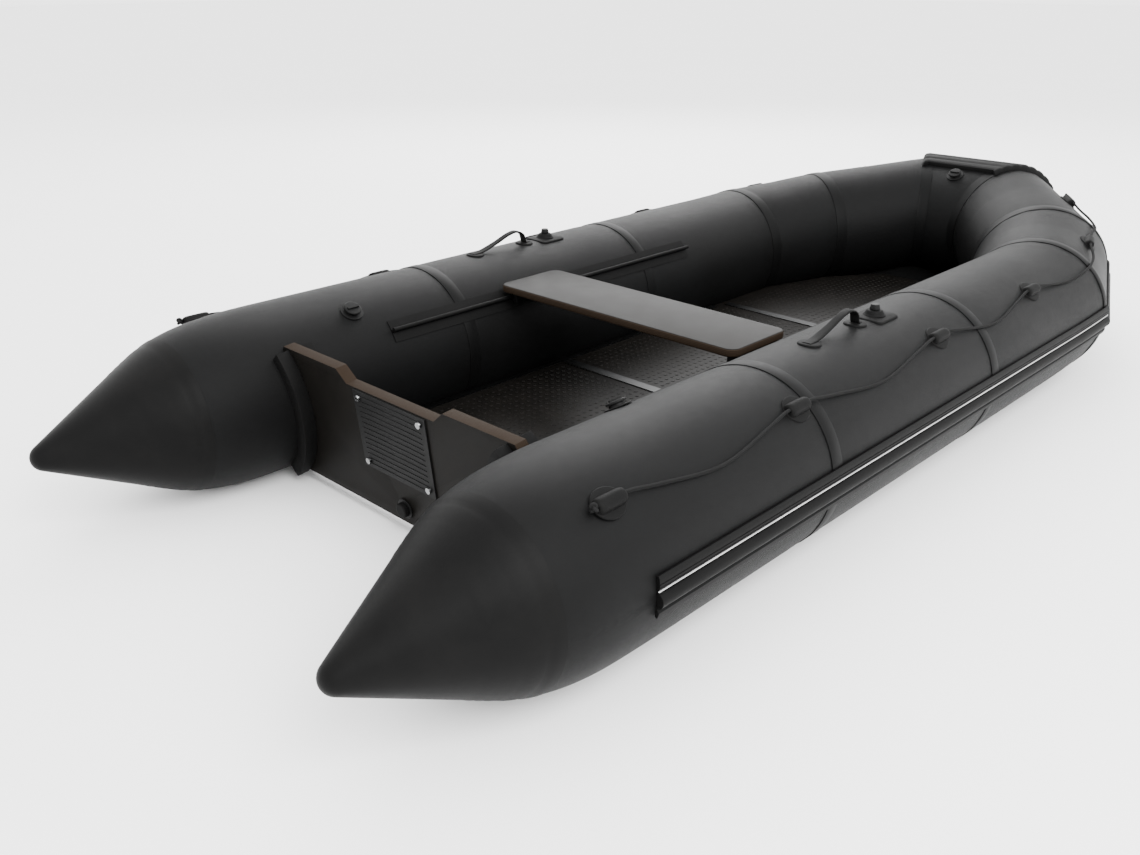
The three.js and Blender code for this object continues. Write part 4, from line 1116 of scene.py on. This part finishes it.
loops = []
for place, tangent in zip(spine, units(np.gradient(spine, axis=0))):
    normal = np.array([-tangent[2], 0, tangent[0]])
    grip_share = math.exp(-(((place[0] - 0.62 * span) / 0.06) ** 4))
    section = strap_section(0.026 - 0.004 * grip_share, 0.0056 + 0.0012 * grip_share)
    loops.append([place + np.array([0, 1, 0]) * w + normal * t for w, t in section])
strap = skinned(loops)
foot_points, foot_faces = wrapped(*pillow(oval(0.027, 0.030), 0.0046, 0.004))
feet = [([(x + start, y, z) for x, y, z in foot_points], foot_faces) for start in (0.0, span)]
points, faces = merged(([(p[0], p[1], p[2] + TUBE) for p in strap[0]], strap[1]), *feet)
handle = (placed(points, on_tube(0, AFT_FOOT, 90)), faces)
both_sides("{}_carry_handle", handle, PATCH_RUBBER, "hull", "rubber", "{}_handle", smooth=50.0)

# ------------------------------------------------------------------ oarlocks

OARLOCK = 1.245
lock_pad = pillow(rounded_oblong(0.036, 0.032, 0.014, 8), 0.0052, 0.005)
boss = turned(rounded([(0.0083, TUBE + 0.0040), (0.0300, TUBE + 0.0040), (0.0255, TUBE + 0.0068),
                       (0.0196, TUBE + 0.0168), (0.0083, TUBE + 0.0170)], 0.003) + [(0.0083, TUBE + 0.0040)])
pin = turned(rounded([(0, TUBE + 0.0043), (0.0079, TUBE + 0.0043), (0.0079, TUBE + 0.0173),
                      (0.013, TUBE + 0.0173), (0.013, TUBE + 0.0220), (0.0105, TUBE + 0.0312),
                      (0, TUBE + 0.0320)], 0.0015))
points, faces = merged(wrapped(*lock_pad), boss)
lock_place = on_tube(0, OARLOCK, 90)
both_sides("{}_oarlock_base", (placed(points, lock_place), faces), PATCH_RUBBER, "hull", "rubber",
           "{}_oarlock_pad")
both_sides("{}_oarlock_post", (placed(pin[0], lock_place), pin[1]), FITTING_PLASTIC, "{}_pin", "plastic",
           "{}_oarlock_pin")

# ------------------------------------------------------------------ air valves

FLANGE, COLLAR = TUBE + 0.0033, TUBE + 0.0093
body_profile = rounded([(0, TUBE - 0.034), (0.014, TUBE - 0.034), (0.014, COLLAR), (0.019, COLLAR),
                        (0.019, FLANGE), (0.032, FLANGE), (0.032, TUBE + 0.0003), (0.022, TUBE + 0.0003),
                        (0.022, TUBE - 0.040), (0, TUBE - 0.040)], 0.0012)
valve_body = turned(body_profile)
cap_points, cap_faces = turned(rounded([(0, TUBE - 0.006), (0.0137, TUBE - 0.006), (0.0137, COLLAR + 0.0003),
                                        (0.024, COLLAR + 0.0003), (0.024, COLLAR + 0.0052),
                                        (0.0215, COLLAR + 0.007), (0, COLLAR + 0.007)], 0.0014), 72)


def fluted(x, y, z):
    """Presses 24 finger flutes into a cap's rim."""
    if math.hypot(x, y) <= 0.0225:
        return x, y, z
    share = 1 - 0.03 * (0.5 + 0.5 * math.cos(24 * math.atan2(y, x)))
    return x * share, y * share, z


key_points, key_faces = pillow(rounded_oblong(0.016, 0.0012, 0.0028, 5), 0.0052, 0.0012)
valve_cap = merged(([fluted(*p) for p in cap_points], cap_faces),
                   ([(x, y, z + COLLAR + 0.0066) for x, y, z in key_points], key_faces))
VALVE, VALVE_ANGLE = 0.390, 122.0
side_place, bow_place = on_tube(0, VALVE, VALVE_ANGLE), on_tube(3, 0.5 * leg_length(3), VALVE_ANGLE)
for side, sign, place in (("port", 1, side_place), ("starboard", -1, side_place), ("bow", 1, bow_place)):
    for part, shape, body, node in (("valve_seat", valve_body, "hull", f"{side}_valve_body"),
                                    ("valve_lid", valve_cap, f"{side}_cap", f"{side}_valve_cap")):
        points = [(p[0], sign * p[1], p[2]) for p in placed(shape[0], place)]
        fit(piece(f"{side}_{part}", points, shape[1], FITTING_PLASTIC), body, "plastic", node)

# ------------------------------------------------------------------ bow towing ring

RING_ANGLE = -(math.degrees(math.asin(STRAKE / 2 / TUBE)) + math.degrees(math.asin(0.051 / TUBE)))
BAR_HEIGHT = 0.011
RING_PLACE = on_tube(3, 0.5 * leg_length(3), RING_ANGLE)
KEEPER = 0.011  # half its length along the bar
saddle = np.concatenate([[(-0.0175, 0.0), (-0.0165, 0.005)], arc(0.0092, 165, 15, 12, 0, BAR_HEIGHT - 0.0005),
                         [(0.0165, 0.005), (0.0175, 0.0)]])
keeper = []
for x in np.linspace(-KEEPER, KEEPER, 9):
    fade = math.sqrt(max(0.0, 1 - (abs(x) / KEEPER) ** 5))
    keeper.append([(x, w * (0.86 + 0.14 * fade), TUBE + h * (0.93 + 0.07 * fade)) for w, h in saddle])
ring_base = merged(wrapped(*pillow(oval(0.046, 0.046, 64), 0.0042, 0.004)), skinned(keeper))
fit(piece("towing_ring_base", placed(ring_base[0], RING_PLACE), ring_base[1], PATCH_RUBBER), "hull", "rubber",
    "bow_ring_patch")
_, _, radial, centre = tube_frame(3, 0.5 * leg_length(3), RING_ANGLE)
bar = centre + radial * (TUBE + BAR_HEIGHT)
ROD, RING_WIDE = 0.006, 0.052
reach_y = RING_WIDE / 2 - ROD / 2
dee = [(y, 0.0) for y in np.linspace(-reach_y + 0.004, reach_y - 0.004, 6)]
dee += [(reach_y - 0.0012, -0.0012), (reach_y, -0.004)]
dee += [(reach_y * math.cos(a), -0.0147 - (0.0273 - ROD / 2) * math.sin(a))
        for a in np.linspace(0, math.pi, 22)]
dee += [(-reach_y, -0.004), (-reach_y + 0.0012, -0.0012)]
line = np.array([(bar.x, bar.y + y, bar.z + z) for y, z in dee])
loops = []
for i, place in enumerate(line):
    tangent = line[(i + 1) % len(line)] - line[i - 1]
    tangent /= np.linalg.norm(tangent)
    across = np.array([1.0, 0.0, 0.0])
    up = np.cross(tangent, across)
    a = np.linspace(0, math.tau, 14, endpoint=False)
    loops.append(place + ROD / 2 * (np.cos(a)[:, None] * across + np.sin(a)[:, None] * up))
fit(piece("towing_ring", *skinned(loops, closed_ends=False, looped=True), RING_STEEL), "bow_ring",
    "stainless", "bow_ring")

# ------------------------------------------------------------------ studio

FLOOR = 40.0
floor_mesh = bpy.data.meshes.new("studio_floor")
floor_corners = [(-FLOOR, -FLOOR, 0), (FLOOR, -FLOOR, 0), (FLOOR, FLOOR, 0), (-FLOOR, FLOOR, 0)]
floor_mesh.from_pydata(floor_corners, [], [(0, 1, 2, 3)])
floor_mesh.materials.append(PAPER)
floor = bpy.data.objects.new("studio_floor", floor_mesh)
bpy.context.scene.collection.objects.link(floor)

world = bpy.data.worlds.new("studio")
world.use_nodes = True
world.node_tree.nodes["Background"].inputs["Color"].default_value = (1.0, 1.0, 1.0, 1.0)
world.node_tree.nodes["Background"].inputs["Strength"].default_value = 3.2
bpy.context.scene.world = world


def softbox(name, place, aim, size, power):
    data = bpy.data.lights.new(name, "AREA")
    data.shape, data.size, data.size_y, data.energy = "RECTANGLE", size[0], size[1], power
    lamp = bpy.data.objects.new(name, data)
    lamp.location = place
    lamp.rotation_euler = (Vector(aim) - Vector(place)).to_track_quat("-Z", "Y").to_euler()
    bpy.context.scene.collection.objects.link(lamp)


softbox("key_light", (-1.5, -4.5, 4.5), (0, 0, 0.2), (4.0, 4.0), 620.0)
softbox("fill_light", (4.0, 3.5, 4.0), (0, 0, 0.2), (5.0, 4.0), 380.0)
